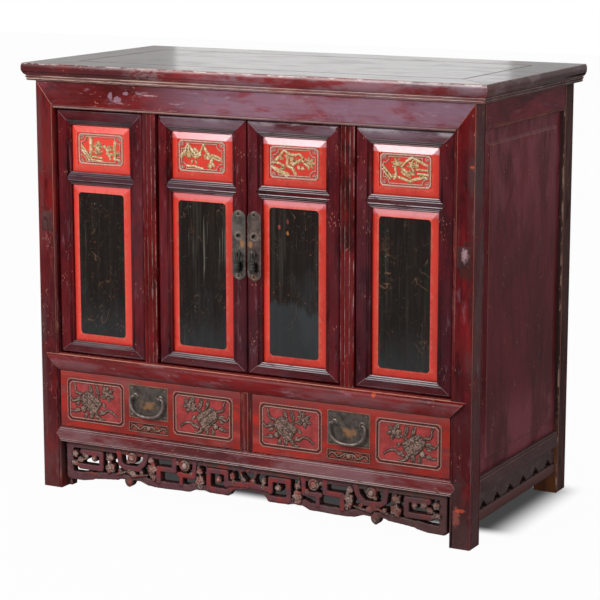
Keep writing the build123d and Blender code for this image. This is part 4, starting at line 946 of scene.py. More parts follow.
@cache
def carcase_finishes():
    c = colours()
    tan = (0.620, 0.250, 0.170)
    orange = (0.760, 0.110, 0.030)
    dirt_and_shade = (0.045, 0.024, 0.020)
    lavender = (0.420, 0.270, 0.360)
    # post_spots: the dark brown spot under the right repair, at a height of 0.598, is painted shade; the others
    # are stains and chips
    post_spots = ((0.512, 0.075, 0.026, 0.075, (0.060, 0.032, 0.032)),
        (0.508, 0.068, 0.008, 0.022, (0.420, 0.110, 0.085)), (0.517, 0.084, 0.012, 0.004, orange),
        (0.500, 0.130, 0.010, 0.022, (0.060, 0.032, 0.032)), (0.521, 0.598, 0.015, 0.022, dirt_and_shade),
        (0.524, 0.655, 0.010, 0.006, dirt_and_shade), (-0.518, 0.655, 0.012, 0.005, dirt_and_shade),
        (0.534, 0.814, 0.005, 0.003, orange))
    head_spots = ((-0.322, 0.912, 0.010, 0.007, lavender), (-0.240, 0.924, 0.018, 0.0016, (0.80, 0.45, 0.45)),
        (-0.300, 0.926, 0.007, 0.004, lavender), (-0.340, 0.918, 0.006, 0.009, lavender))
    sill_spots = ((0.315, 0.314, 0.005, 0.006, orange),)
    return {
        # bottom rail: bloom below its upper bead
        "x": old_lacquer(
            "carcase_lacquer_x", c.oxblood[:], toned(c.maroon, 0.8), "x", 0.80, 0.0, rubbed=-0.12,
            worn=(0.60, 0.36, 0.33), veil_tone=(0.310, 0.155, 0.170), extra=lambda f: f.ramp("Z", 0.150, 0.142),
            lines=(base_lines, (0.75, 0.62, 0.60))),
        # head rail: bloom and painted sheen that grow to the right, a rubbed bead along the foot
        "head": old_lacquer(
            "head_rail_lacquer", toned(c.maroon, 0.55), toned(c.maroon, 1.2), "x", 0.24, 1.5, rubbed=-0.05,
            worn=(0.50, 0.28, 0.26), veil_tone=(0.325, 0.190, 0.262), extra=lambda f: f.ramp("X", -0.31, -0.04),
            smears=0.75, spots=head_spots, lines=rubbed_line("Z", 0.8875, 1.8 * MM, 0.85, (0.60, 0.38, 0.34))),
        # waist rail: bloom on its lower half, a rubbed upper arris
        "sill": old_lacquer(
            "sill_lacquer", toned(c.maroon, 0.62), c.maroon[:], "x", 0.25, 2.5, specular=0.10, smears=0.35,
            veil_tone=(0.245, 0.100, 0.110), extra=lambda f: f.ramp("Z", 0.313, 0.303), spots=sill_spots,
            lines=rubbed_line("Z", 0.3192, 1.0 * MM, 0.85, (0.60, 0.27, 0.20))),
        "y": old_lacquer(
            "side_rail_lacquer", (0.120, 0.014, 0.022), (0.225, 0.022, 0.036), "y", 0.30, 3.0, specular=0.08,
            rubbed=0.15, worn=(0.40, 0.17, 0.12), veil_tone=(0.180, 0.050, 0.066)),
        "low": old_lacquer(
            "low_side_lacquer", (0.078, 0.036, 0.036), (0.115, 0.060, 0.060), "y", 0.35, 6.0, specular=0.06,
            rubbed=0.05, worn=(0.30, 0.16, 0.13), veil_tone=(0.140, 0.085, 0.085), mottle=0.4),
        # front posts: rubbed beads beside the openings
        "z": old_lacquer(
            "carcase_lacquer_z", c.oxblood[:], c.maroon[:], "z", 0.28, 5.0, specular=0.15, rubbed=-0.02,
            worn=tan, veil_tone=(0.125, 0.064, 0.064), extra=post_foot, spots=post_spots, mottle=0.75,
            lines=rubbed_line("X", 0.4877, 2.7 * MM, 0.8, (0.46, 0.20, 0.155))),
        "reed": old_lacquer(
            "reeded_lacquer", toned(c.maroon, 0.55), toned(c.maroon, 0.8), "z", 0.12, 7.0, specular=0.2,
            rubbed=-0.22, worn=(0.55, 0.24, 0.18), mottle=1.0, lines=(reed_lines, (0.66, 0.42, 0.38))),
        "rear": old_lacquer(
            "rear_post_lacquer", (0.078, 0.043, 0.040), (0.112, 0.064, 0.060), "z", 0.0, 8.0, specular=0.0,
            veil_tone=(0.420, 0.150, 0.055), extra=rear_bare, rough=0.6, smears=0.05,
            lines=(rear_line, (0.55, 0.36, 0.28))),
    }


def leaf_finishes():
    """Finishes of a leaf's uprights and of its rails."""
    deep, bright = (0.058, 0.0070, 0.013), (0.148, 0.0085, 0.012)
    # on the rails, the veil at the top and the fine pale lines are painted sheen and painted glints
    rails = old_lacquer("leaf_rail_lacquer", deep, toned(bright, 0.7), "x", 0.30, 18.0, worn=(0.20, 0.14, 0.16),
        specular=0.26, extra=top_rail_sheen, rubbed=-0.30, veil_tone=(0.225, 0.150, 0.190),
        lines=(rail_glints, (0.80, 0.76, 0.78)), smears=0.1)
    return old_lacquer("leaf_stile_lacquer", deep, bright, "z", 0.22, 15.0, worn=(0.38, 0.25, 0.27),
        specular=0.20, rubbed=-0.02, veil_tone=(0.180, 0.065, 0.085)), rails


def dress_front():
    """Posts and rails seen from the front."""
    coats = carcase_finishes()
    for side, _ in SIDES:
        dress(f"front_{side}_post", coats["z"], 1.2 * MM, shortest=50 * MM)
        dress(f"rear_{side}_post", coats["rear"], 1.2 * MM)
        dress(f"reeded_post_{side}", coats["reed"], 0.5 * MM)
    dress("head_rail_front", coats["head"])
    dress("sill_rail", coats["sill"])
    dress("bottom_rail_front", coats["x"])
    y, z0, z1 = high("left_drawer_front").y + 0.5 * MM, low("left_drawer_front").z, high("left_drawer_box").z
    inner, outer = high("drawer_divider").x, -high("left_drawer_box").x - 0.5 * MM
    dress("drawer_divider", coats["z"], extra=[((x0, y, z0), (x1, y + 4 * MM, z1))
        for x0, x1 in ((-outer, -inner), (inner, outer))])


def dress_sides():
    """Side rails and the large side panels."""
    dress("head_rails_side", carcase_finishes()["y"])
    dress("bottom_rails_side", carcase_finishes()["low"])
    # the side panels' veil towards their top and foot is bloom, and towards the top also painted sheen
    panel = old_lacquer("side_panel_lacquer", (0.082, 0.014, 0.017), (0.150, 0.021, 0.028), "z", 0.12, 30.0,
        specular=0.07, extra=lambda f: f.most(f.ramp("Z", 0.46, 0.84), f.ramp("Z", 0.34, 0.22)) * 0.75,
        veil_tone=(0.330, 0.085, 0.108), mottle=0.35, smears=0.05, rubbed=0.08, worn=(0.36, 0.15, 0.12))
    for side, _ in SIDES:
        dress(f"side_panel_{side}", panel, 1.2 * MM)


def dress_patches():
    """Repairs let into the front posts: a dull red one at the left, a purple-grey one at the right."""
    at, middle = high("post_patches").x, (low("post_patches").z + high("post_patches").z) / 2
    dark, brown, pale = (0.030, 0.014, 0.014), (0.110, 0.050, 0.042), (0.480, 0.300, 0.330)
    # round the right repair, the large dark spot and the one below it are painted shade
    spots = ((14 * MM - at, middle - 2 * MM, 9 * MM, 16 * MM, brown),
        (11 * MM - at, middle + 6 * MM, 5 * MM, 5 * MM, dark),
        (17 * MM - at, middle - 4 * MM, 2 * MM, 12 * MM, dark),
        (9 * MM - at, middle - 12 * MM, 5 * MM, 2 * MM, brown), (at - 16 * MM, middle, 20 * MM, 30 * MM, dark),
        (at - 13 * MM, middle + 3 * MM, 9 * MM, 17 * MM, pale),
        (at - 12 * MM, middle + 7 * MM, 5 * MM, 9 * MM, pale),
        (at - 9 * MM, middle - 9 * MM, 4 * MM, 8 * MM, dark))
    wood = old_lacquer("patch_lacquer", (0.082, 0.018, 0.020), (0.150, 0.034, 0.036), "z", 0.45, 40.0,
        worn=(0.20, 0.08, 0.07), rubbed=-0.22, specular=0.12, veil_tone=(0.190, 0.090, 0.095), spots=spots)
    dress("post_patches", wood, 1.3 * MM)


def dress_top():
    """The framed slab: moulded members and the board between them."""
    along_x = slab_lacquer("x")
    dress("top_front_member", along_x)
    dress("top_back_member", along_x)
    dress("top_end_members", slab_lacquer("y", 4.0))
    dress("top_panel", along_x, 0.7 * MM)


def dress_inside():
    """Unfinished wood of the back, the inside and the drawers."""
    for along, nodes in (("z", ["back_boards"]), ("x", ["cupboard_floor", "shelf", "head_rail_back",
            "sill_rail_back", "bottom_rail_back"]), ("y", ["top_battens", "shelf_bearers", "drawer_runners",
            "left_drawer_box", "right_drawer_box"])):
        wood = plain_wood(f"softwood_{along}", colours().softwood[:], along)
        for node in nodes:
            mesh = frame["nodes"][node].data
            mesh.materials.clear()
            mesh.materials.append(wood)


# ---- leaves and doors

def dress_leaves():
    """Frames of the outer leaves and the doors."""
    upright, level = leaf_finishes()
    for leaf in LEAVES:
        for node in [f"{leaf}_frame"] + [f"{leaf}_hinge_stile"] * ("door" in leaf):
            dress(node, upright, 0.6 * MM, upright=0.40, level=level)


def panel_opening(node):
    """Opening that a panel fills, the plane of its face and of its edge, and its back."""
    a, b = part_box(node)
    return a.x + TONGUE, b.x - TONGUE, a.z + TONGUE, b.z - TONGUE, a.y, a.y + PANEL_RAISE, b.y


def ring(x0, x1, z0, z1, y, count, radius=0.0):
    """A rectangle as a ring of 4 * count points, which round its corners or repeat them."""
    points = []
    for cx, cz, start in ((x0 + radius, z0 + radius, 180), (x1 - radius, z0 + radius, 270),
            (x1 - radius, z1 - radius, 0), (x0 + radius, z1 - radius, 90)):
        for i in range(count):
            angle = radians(start + 90 * i / max(count - 1, 1))
            points.append((cx + radius * cos(angle), y, cz + radius * sin(angle)))
    return points


def panel_border(node, count, inner, material_at, *materials):
    """A panel's tongue and sloping border; inner holds (inset, depth under the face, radius) of more rings."""
    x0, x1, z0, z1, face, edge, back = panel_opening(node)
    rows = [(-TONGUE / 2, back, 0), (-TONGUE / 2, edge, 0), (0, edge, 0)]
    rows += [(PANEL_BORDER + inset, face + depth, radius) for inset, depth, radius in inner]
    work = loops_to_mesh([ring(x0 + by, x1 - by, z0 + by, z1 - by, y, count, radius) for by, y, radius in rows],
        material_at)
    # a mask for the foot of the border, where its red is made darker
    wear, border_foot = work.verts.layers.float.new("wear"), work.verts.layers.float.new("border_foot")
    for vert in work.verts:
        vert[wear] = 0.75 if vert.co.y < face + 0.35 * MM else 0.0
        vert[border_foot] = 0.55 if vert.co.y > edge - 0.1 * MM else 0.0
    panel_object(node, work, "vermilion_lacquer", worn_vermilion(), *materials)


def lower_panel(node):
    """Tall panel: sloping red border, black field with rounded corners."""
    radius = sizes().field_radius
    panel_border(node, 8, ((0, 0.3 * MM, 0), (0.5 * MM, 0, 0), (0.9 * MM, 0, radius),
        (1.4 * MM, sizes().field_sink, radius - 0.5 * MM)), lambda k: 1 if k >= 5 else 0, black_field())


def panel_object(node, work, slot, *materials):
    """The finished piece of a node, from a work mesh that it uses up."""
    mesh = bpy.data.meshes.new(f"{node}_finished")
    work.to_mesh(mesh)
    work.free()
    smoothed(mesh, 12)
    settle(link(mesh.name, mesh, *materials), node)


def carved_border(node):
    """Small panel's sloping border, open to its carving."""
    panel_border(node, 1, ((0, 0, 0), (0.2 * MM, 2.4 * MM, 0)), None)


# Gilded motifs of the small panels, in millimetres from the middle of each: bars as (points, half-width at the
# start, at the end), leaves as (x, y, angle, length, width), fans of leaves as (x, y, length, count, first and
# last angle), blossoms as (x, y, radius, petals).
MOTIFS = ({"bars": [([(-27, 24), (-26, 5), (-28, -13)], 4.6, 4.0),
    ([(-51, 7), (-38, -8), (-25, -22)], 2.6, 2.8), ([(-51, -1), (-40, -13), (-31, -24)], 2.4, 2.8),
    ([(-24, -17), (2, -19)], 2.6, 2.2), ([(-26, -24), (4, -26)], 2.2, 1.8),
    ([(38, 18), (36, 2), (38, -15)], 4.0, 3.8), ([(34, -19), (50, -21)], 2.4, 1.8),
    ([(10, 6), (19, -4), (25, -20)], 2.2, 2.6)], "leaves": [(20, -4, 60, 15, 8), (22, -12, 25, 11, 7),
    (12, 4, 120, 10, 7)], "fans": [(-8, -12, 15, 4, 35, 150), (-7, 4, 13, 5, 10, 165), (22, 0, 11, 4, 20, 150),
    (44, -12, 10, 3, 40, 120)], "blossoms": [(-8, 1, 6.0, 5), (-6, 15, 4.6, 5), (18, -8, 4.6, 5)]},
    {"bars": [([(-35, 26), (-44, 10), (-52, -2)], 2.0, 4.4), ([(-35, 26), (-24, 12), (-10, 0)], 2.2, 4.4),
    ([(-34, 18), (-33, 0)], 3.2, 5.4), ([(-18, 16), (-5, 4)], 3.2, 3.6),
    ([(4, 27), (-2, 14), (-6, 6)], 1.8, 2.8), ([(4, 27), (11, 12), (20, 1)], 2.2, 4.2),
    ([(-38, -22), (-20, -22), (2, -26)], 2.4, 1.8), ([(25, -4), (23, -14), (20, -23)], 3.4, 4.0)],
    "leaves": [(20, 5, -20, 34, 12), (-24, -8, 250, 10, 5), (-18, -8, 300, 12, 5), (26, -12, 300, 13, 6)],
    "fans": [(-20, -2, 13, 5, 20, 160), (-44, 0, 12, 4, 20, 140), (12, 4, 10, 4, 200, 320),
    (22, -14, 11, 3, 210, 330)], "blossoms": [(-16, 0, 5.0, 5), (16, -2, 4.6, 5)]},
    {"bars": [([(-25, 27), (-34, 14), (-45, 4)], 2.4, 3.6), ([(-25, 27), (-12, 18), (3, 17)], 2.6, 3.0),
    ([(-17, 6), (-18, -6), (-4, -12), (3, -24)], 3.0, 3.4), ([(-53, -1), (-38, -2), (-26, -7)], 2.6, 2.2),
    ([(-54, -11), (-40, -18), (-18, -27)], 3.4, 5.4), ([(-2, -4), (8, 4), (18, 8)], 3.0, 2.4),
    ([(3, 17), (12, 20), (20, 12)], 2.2, 2.8), ([(20, 6), (28, -2), (34, -6)], 2.4, 2.6)],
    "leaves": [(-14, 16, 250, 12, 8), (0, 2, 200, 12, 7), (8, -4, 300, 12, 7), (-34, -14, 20, 13, 8)],
    "fans": [(36, 2, 15, 7, -100, 190), (-14, 10, 11, 4, 30, 150), (8, 8, 10, 4, 200, 330),
    (-36, 6, 10, 3, 20, 110)], "blossoms": [(36, 2, 5.0, 6), (-6, 8, 5.0, 5), (20, -10, 4.4, 5)]},
    {"bars": [([(-54, 9), (-42, -4), (-32, -14)], 2.4, 2.8), ([(-54, 1), (-46, -8), (-36, -18)], 2.0, 2.4),
    ([(-9, 8), (2, 20), (14, 29)], 2.6, 3.0), ([(14, 29), (28, 23), (47, 14)], 3.2, 3.0),
    ([(-24, 6), (-22, -6), (-26, -18)], 2.6, 2.8), ([(26, 4), (50, 3)], 2.6, 2.2),
    ([(28, -5), (52, -6)], 2.4, 2.0), ([(8, -22), (24, -16), (46, -12)], 3.2, 2.6),
    ([(-14, -15), (4, -20)], 3.0, 3.0), ([(16, 22), (12, 10), (18, 0)], 2.2, 2.8)],
    "leaves": [(-12, 4, -40, 24, 13), (4, -4, 300, 14, 8), (30, -12, 20, 14, 7)],
    "fans": [(-20, 13, 13, 6, -30, 210), (16, 10, 13, 5, 0, 180), (12, -8, 11, 4, 20, 140),
    (-26, -10, 10, 3, 200, 330)], "blossoms": [(-20, 13, 5.0, 6), (16, 12, 5.2, 5), (26, 12, 4.2, 5)]},)


def scene_motif(relief, motif):
    """Gilded branches, peaks, leaves and blossom of one small panel."""
    for points, start, end in motif["bars"]:
        relief.stroke(scaled(points), 1.25 * start * MM, 1.25 * end * MM, 3.1 * MM)
    for x, y, size, count, first, last in motif["fans"]:
        for i in range(count):
            angle = first + (last - first) * i / (count - 1)
            relief.leaf(x * MM, y * MM, angle, 1.15 * size * MM, 6.8 * MM, (2.4 + 0.5 * (i % 2)) * MM)
    for x, y, angle, size, width in motif["leaves"]:
        relief.leaf(x * MM, y * MM, angle, 1.1 * size * MM, 1.1 * width * MM, 3.3 * MM)
    for x, y, radius, petals in motif["blossoms"]:
        relief.blossom(x * MM, y * MM, 1.25 * radius * MM, petals, 3.3 * MM, 1.0, 10 * x)


def small_carving(leaf, number):
    """Gilded relief in a frame with stepped corners and corner blossoms."""
    node = f"{leaf}_carved_panel"
    x0, x1, z0, z1, face, _, _ = panel_opening(node)
    b = PANEL_BORDER + 0.1 * MM
    width, height = x1 - x0 - 2 * b, z1 - z0 - 2 * b
    relief = Relief(width, height, sizes().carving_cell)
    ground, deepest = 0.9 * MM, 4.0 * MM
    scene_motif(relief, MOTIFS[number])
    relief.chisel(0.16, 60 + number)
    half_w, half_h = width / 2, height / 2
    relief.outline(clipped(half_w - 3.8 * MM, half_h - 3.6 * MM, 5 * MM), 2.3 * MM, 3.2 * MM, 0.5)
    relief.outline(stepped(half_w - 9.5 * MM, half_h - 8.5 * MM, 13 * MM), 1.4 * MM, 2.9 * MM, 0.5)
    for sx in (-1, 1):
        for sy in (-1, 1):
            relief.blossom(sx * (half_w - 11 * MM), sy * (half_h - 10 * MM), 7.4 * MM, 6, 2.7 * MM, 0.34,
                20 * number)
    # painted shade along the edge of the field, under the sloping border
    edge = np.minimum(half_w - np.abs(relief.u), half_h - np.abs(relief.v))
    relief.dark = np.maximum(relief.dark, 0.5 * np.clip((1.6 * MM - edge) / (0.8 * MM), 0, 1))
    relief.height += ground
    relief.roughen(0.10 * MM, number)
    relief.height = np.minimum(relief.height, deepest)
    metal = carved("gilded_carving", (0.46, 0.060, 0.062), colours().gilt[:], (0.85, 0.52, 0.40),
        (1.0, 0.84, 0.58), 0.34, 0.4)
    relief.board(f"{leaf}_carving", facing_front((x0 + x1) / 2, face + deepest, (z0 + z1) / 2), 0.5 * MM, metal,
        60, node)


# ---- drawers

# The bundle motif of the drawers, in millimetres from the middle: leaves as (x, y, angle, length, width),
# ribbons as points.
BUNDLE_LEAVES = ((-9, 20, 112, 21, 9), (8, 17, 106, 24, 10), (26, 29, 102, 16, 8), (16, 12, 40, 16, 8),
    (-40, 2, 172, 17, 10), (-42, -5, 205, 14, 8), (-44, -20, 200, 14, 7), (-24, -27, 250, 15, 9),
    (-12, -25, 275, 17, 10), (0, -24, 295, 16, 9), (12, -18, 318, 15, 9), (20, 0, 300, 13, 7))
BUNDLE_RIBBONS = (((-38, 15), (-50, 17), (-55, 24), (-54, 32), (-58, 40)), ((-46, 1), (-61, -4), (-70, 8)),
    ((-44, -24), (-56, -27), (-66, -26)), ((12, -27), (22, -24), (31, -17), (43, -18), (58, -29)),
    ((4, -32), (12, -39), (22, -37)))


def bundle_motif(relief, mirrored, other):
    """A tied bundle with a spray of leaves, a blossom and flying ribbons."""
    sign = -1 if mirrored else 1
    tilt = radians(-38)
    u, v = sign * relief.u + 14 * MM, relief.v + 2 * MM
    a, b = u * cos(tilt) + v * sin(tilt), v * cos(tilt) - u * sin(tilt)
    half_a, half_b, bend = 26 * MM, (18 if other else 19) * MM + 0.12 * a, 10 * MM
    out = np.hypot(np.maximum(np.abs(a) - half_a + bend, 0), np.maximum(np.abs(b) - half_b + bend, 0))
    inside = np.clip((bend - out) / (2.4 * MM), 0, 1)
    weave = 0.80 + 0.20 * np.cos(2 * pi * b / (4.6 * MM)) * np.cos(2 * pi * a / (5.2 * MM))
    relief.lay(2.7 * MM * np.sqrt(inside) * weave * (inside > 0), 1.0)
    # dark seams across the bundle, laid into the mask of painted shade
    for at in (-13, 6):
        seam = (np.abs(b - at * MM) < 0.9 * MM) & (inside > 0)
        relief.dark = np.maximum(relief.dark, np.where(seam, 0.9, 0.0))
    for x, y, angle, size, width in BUNDLE_LEAVES:
        relief.leaf(sign * x * MM, y * MM, angle if sign > 0 else 180 - angle, size * MM, width * MM, 2.6 * MM)
    for stem in (((-6, 10), (-9, 22)), ((4, 8), (8, 19)), ((2, 6), (14, 15), (32, 22)), ((22, 18), (26, 30))):
        relief.stroke(scaled(stem, mirrored), 1.7 * MM, 1.3 * MM, 1.8 * MM, 1.0)
    turn = 12 if other else 38
    for i in range(6):
        angle = turn + 60 * i
        relief.leaf((sign * 34 + 4 * cos(radians(angle))) * MM, (22 + 4 * sin(radians(angle))) * MM, angle,
            15 * MM, 8.5 * MM, 2.6 * MM)
    relief.blossom(sign * 34 * MM, 22 * MM, 6 * MM, 5, 2.9 * MM)
    relief.blossom(sign * -33 * MM, -19 * MM, 8 * MM, 6, 3.0 * MM, 1.0, 18)
    for ribbon in BUNDLE_RIBBONS:
        relief.stroke(scaled(ribbon, mirrored), 3.0 * MM, 1.3 * MM, 2.3 * MM, 1.0)


def drawer_carving(side, place, node, number):
    """One framed relief of a drawer front: rubbed line, a dark line of painted shade in a shallow groove,
    carved field.
    """
    a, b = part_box(node)
    face, middle_z = a.y, (a.z + b.z) / 2
    relief = Relief(156 * MM, 102 * MM, sizes().carving_cell)
    bundle_motif(relief, place > 0, number % 2 == 1)
    relief.chisel(0.14, 80 + number)
    relief.outline(clipped(76.2 * MM, 49.2 * MM, 7 * MM), 1.1 * MM, 1.2 * MM, 0.5)
    relief.outline(clipped(69.4 * MM, 42.4 * MM, 5.8 * MM), 1.1 * MM, 1.2 * MM, 0.5)
    groove = clipped(73.0 * MM, 46.0 * MM, 6.4 * MM)
    distance, _ = relief.along(groove + groove[:1])
    cut = distance < 2.0 * MM
    relief.height = np.where(cut, -0.2 * MM, relief.height)
    relief.paint = np.where(cut, 0.0, relief.paint)
    # painted shade in the groove
    relief.dark = np.maximum(relief.dark, np.clip((2.3 * MM - distance) / (0.7 * MM), 0, 1))
    relief.roughen(0.08 * MM, 20 + number)
    rim = np.minimum(78 * MM - np.abs(relief.u), 51 * MM - np.abs(relief.v))
    relief.height -= 0.7 * MM * np.clip(1 - rim / (1.6 * MM), 0, 1)
    x = (a.x + b.x) / 2 + place * 142 * MM
    wood = carved("taupe_carving", (0.44, 0.056, 0.055), colours().taupe[:], (0.56, 0.34, 0.27),
        (0.70, 0.52, 0.42), 0.42, 0.25, shade=0.80)
    relief.board(f"{side}_drawer_carving_{'left' if place < 0 else 'right'}",
        facing_front(x, face - 0.35 * MM, middle_z), 1.6 * MM, wood, 60, node)


def drawer_strip(side, node):
    """Carved strip of scrolls under the drawer plate."""
    a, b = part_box(node)
    relief = Relief(106 * MM, 24 * MM, 0.7 * MM)
    relief.outline(clipped(51.5 * MM, 10.6 * MM, 0.8 * MM), 1.1 * MM, 1.5 * MM, 0.5)
    for sign in (-1, 1):
        wave = [(sign * t * MM, 4.2 * sin(t / 5.0) * MM) for t in range(3, 47, 2)]
        relief.stroke(wave, 1.5 * MM, 1.3 * MM, 1.5 * MM)
        for i, t in enumerate(range(8, 46, 9)):
            up = 1 if i % 2 else -1
            relief.leaf(sign * t * MM, up * -2 * MM, 90 * up + sign * 30, 8 * MM, 4.2 * MM, 1.5 * MM)
    relief.blossom(0, 0, 6.5 * MM, 6, 1.7 * MM)
    wood = carved("strip_carving", (0.34, 0.060, 0.045), (0.38, 0.22, 0.16), (0.42, 0.22, 0.16),
        (0.48, 0.32, 0.24), 0.42, 0.2)
    relief.board(f"{side}_drawer_strip", facing_front((a.x + b.x) / 2, a.y - 0.15 * MM, 170 * MM), 1.4 * MM,
        wood, None, node)


# ---- repeated pieces by rule

def rim_tree(name, radius, pitch=None):
    """Pieces along a rectangle facing the front: beads at a pitch or, without one, a nail at each corner."""
    tree = bpy.data.node_groups.new(name, "GeometryNodeTree")
    tree.interface.new_socket("Geometry", in_out="OUTPUT", socket_type="NodeSocketGeometry")
    lengths = {"Width": 0.1, "Height": 0.07, "Radius": radius, **({"Pitch": pitch} if pitch else {})}
    for label, kind in [*((key, "Float") for key in lengths), ("Centre", "Vector"), ("Material", "Material")]:
        socket = tree.interface.new_socket(label, in_out="INPUT", socket_type="NodeSocket" + kind)
        if label in lengths:
            socket.default_value = lengths[label]
    given = tree.nodes.new("NodeGroupInput").outputs

    def node(kind, mode=None, **inputs):
        made = tree.nodes.new("GeometryNode" + kind)
        if mode:
            made.mode = mode
        for key, value in inputs.items():
            if isinstance(value, bpy.types.NodeSocket):
                tree.links.new(value, made.inputs[key])
            else:
                made.inputs[key].default_value = value
        return made.outputs[0]

    places = node("CurvePrimitiveQuadrilateral", Width=given["Width"], Height=given["Height"])
    if pitch:
        places = node("ResampleCurve", "LENGTH", Curve=places, Length=given["Pitch"])
        piece = node("MeshIcoSphere", Subdivisions=2, Radius=given["Radius"])
    else:
        dome = node("MeshUVSphere", Segments=16, Rings=8, Radius=given["Radius"])
        piece = node("Transform", Geometry=dome, Scale=(1, 1, 0.45))
    real = node("RealizeInstances", Geometry=node("InstanceOnPoints", Points=places, Instance=piece))
    turned = node("Transform", Geometry=real, Rotation=(pi / 2, 0, 0))
    moved = node("Transform", Geometry=turned, Translation=given["Centre"])
    coated = node("SetMaterial", Geometry=moved, Material=given["Material"])
    tree.links.new(coated, tree.nodes.new("NodeGroupOutput").inputs[0])
    return tree


def grown(name, tree, node, values):
    """Piece made by a geometry tree, its modifier turned into a plain mesh."""
    obj = link(name, bpy.data.meshes.new(name))
    modifier = obj.modifiers.new(tree.name, "NODES")
    modifier.node_group = tree
    for item in tree.interface.items_tree:
        if item.in_out == "INPUT":
            modifier[item.identifier] = values[item.name]
    baked(obj)
    smoothed(obj.data)
    settle(obj, node, False)


# ---- fittings

def skin(rings, steps, closed=False):
    """Faces that join rings of points in turn; unless they close on themselves, the ends are filled."""
    faces = []
    for k in range(rings if closed else rings - 1):
        n = (k + 1) % rings
        for i in range(steps):
            j = (i + 1) % steps
            faces.append((k * steps + i, k * steps + j, n * steps + j, n * steps + i))
    if not closed:
        faces += [tuple(range(steps))[::-1], tuple((rings - 1) * steps + i for i in range(steps))]
    return faces


def lathe(profile, place, steps=28):
    """Turned piece: profile of (radius, along) in millimetres, place maps (a, b, along) to a point."""
    turns = [2 * pi * i / steps for i in range(steps)]
    verts = [place(radius * MM * cos(t), radius * MM * sin(t), along * MM) for radius, along in profile
        for t in turns]
    return verts, skin(len(profile), steps)


def tube(points, radii, steps=14, closed=False):
    """Round bar through points, with a radius at each; a closed one is a ring in a plane of constant X."""
    points = [Vector(p) for p in (points[:-1] if closed else points)]
    count, verts = len(points), []
    for i, point in enumerate(points):
        if closed:
            heading = (points[(i + 1) % count] - points[i - 1]).normalized()
            side = Vector((1, 0, 0))
        else:
            heading = (points[min(i + 1, count - 1)] - points[max(i - 1, 0)]).normalized()
            side = heading.cross(Vector((0, -1, 0)))
            side = side.normalized() if side.length > 1e-6 else Vector((0, 0, 1))
        up = side.cross(heading).normalized()
        for k in range(steps):
            angle = 2 * pi * k / steps
            verts.append(point + radii[i] * (cos(angle) * side + sin(angle) * up))
    return verts, skin(count, steps, closed)


def eye(x, y, z, radius):
    """Ring that a pull or a bail hangs in."""
    points = [(x, y + radius * cos(t), z + radius * sin(t)) for t in np.linspace(0, 2 * pi, 21)]
    return tube(points, [1.05 * MM] * len(points), 10, True)


def gathered(name, parts, material, node, whole=True, warm=lambda co: 0.0):
    """One piece from several lists of points and faces; warm gives the rubbed patch at a point."""
    work = bmesh.new()
    for verts, faces in parts:
        made = [work.verts.new(vert) for vert in verts]
        for face in faces:
            work.faces.new([made[i] for i in face])
    bmesh.ops.recalc_face_normals(work, faces=work.faces)
    mark_edges(work, 1.0, FITTING_WEAR_BEND)
    layer = work.verts.layers.float.new("warm")
    for vert in work.verts:
        vert[layer] = warm(vert.co)
    mesh = bpy.data.meshes.new(name)
    work.to_mesh(mesh)
    work.free()
    smoothed(mesh, 42)
    settle(link(name, mesh, material), node, whole)


def fitting_bronze():
    return old_bronze("fitting_bronze", toned(colours().bronze, 2.3), 0.5, 0.45, 0.30)


def plate_outline(width, height, wave, count=120):
    """Slot-shaped outline with a softly scalloped edge."""
    half, straight = width / 2, (height - width) / 2
    points = []
    for i in range(count):
        angle = 2 * pi * i / count
        x, z = cos(angle), sin(angle)
        stretch = half / max(abs(x), 1e-6)
        z_on_side = z * stretch
        if abs(z_on_side) <= straight:
            px, pz = half * (1 if x > 0 else -1), z_on_side
        else:
            k = straight * abs(z)
            reach = k + (max(k * k - straight ** 2 + half ** 2, 0)) ** 0.5
            px, pz = reach * x, reach * z
        ripple = 1 - wave * (0.5 + 0.5 * cos(26 * angle))
        points.append((px * ripple, pz * (1 - 0.3 * wave * (0.5 + 0.5 * cos(26 * angle)))))
    return points


PULL_Z = 597 * MM            # axis of the drop pulls
BAIL_Z = 243 * MM            # axis of the bails
STAPLE = 631                 # height of the padlock staple, in millimetres
STUDS = ((678, 6.6, 3.4), (STAPLE, 7.0, 4.6), (541, 6.2, 2.4))     # height, radius and radius of the hole


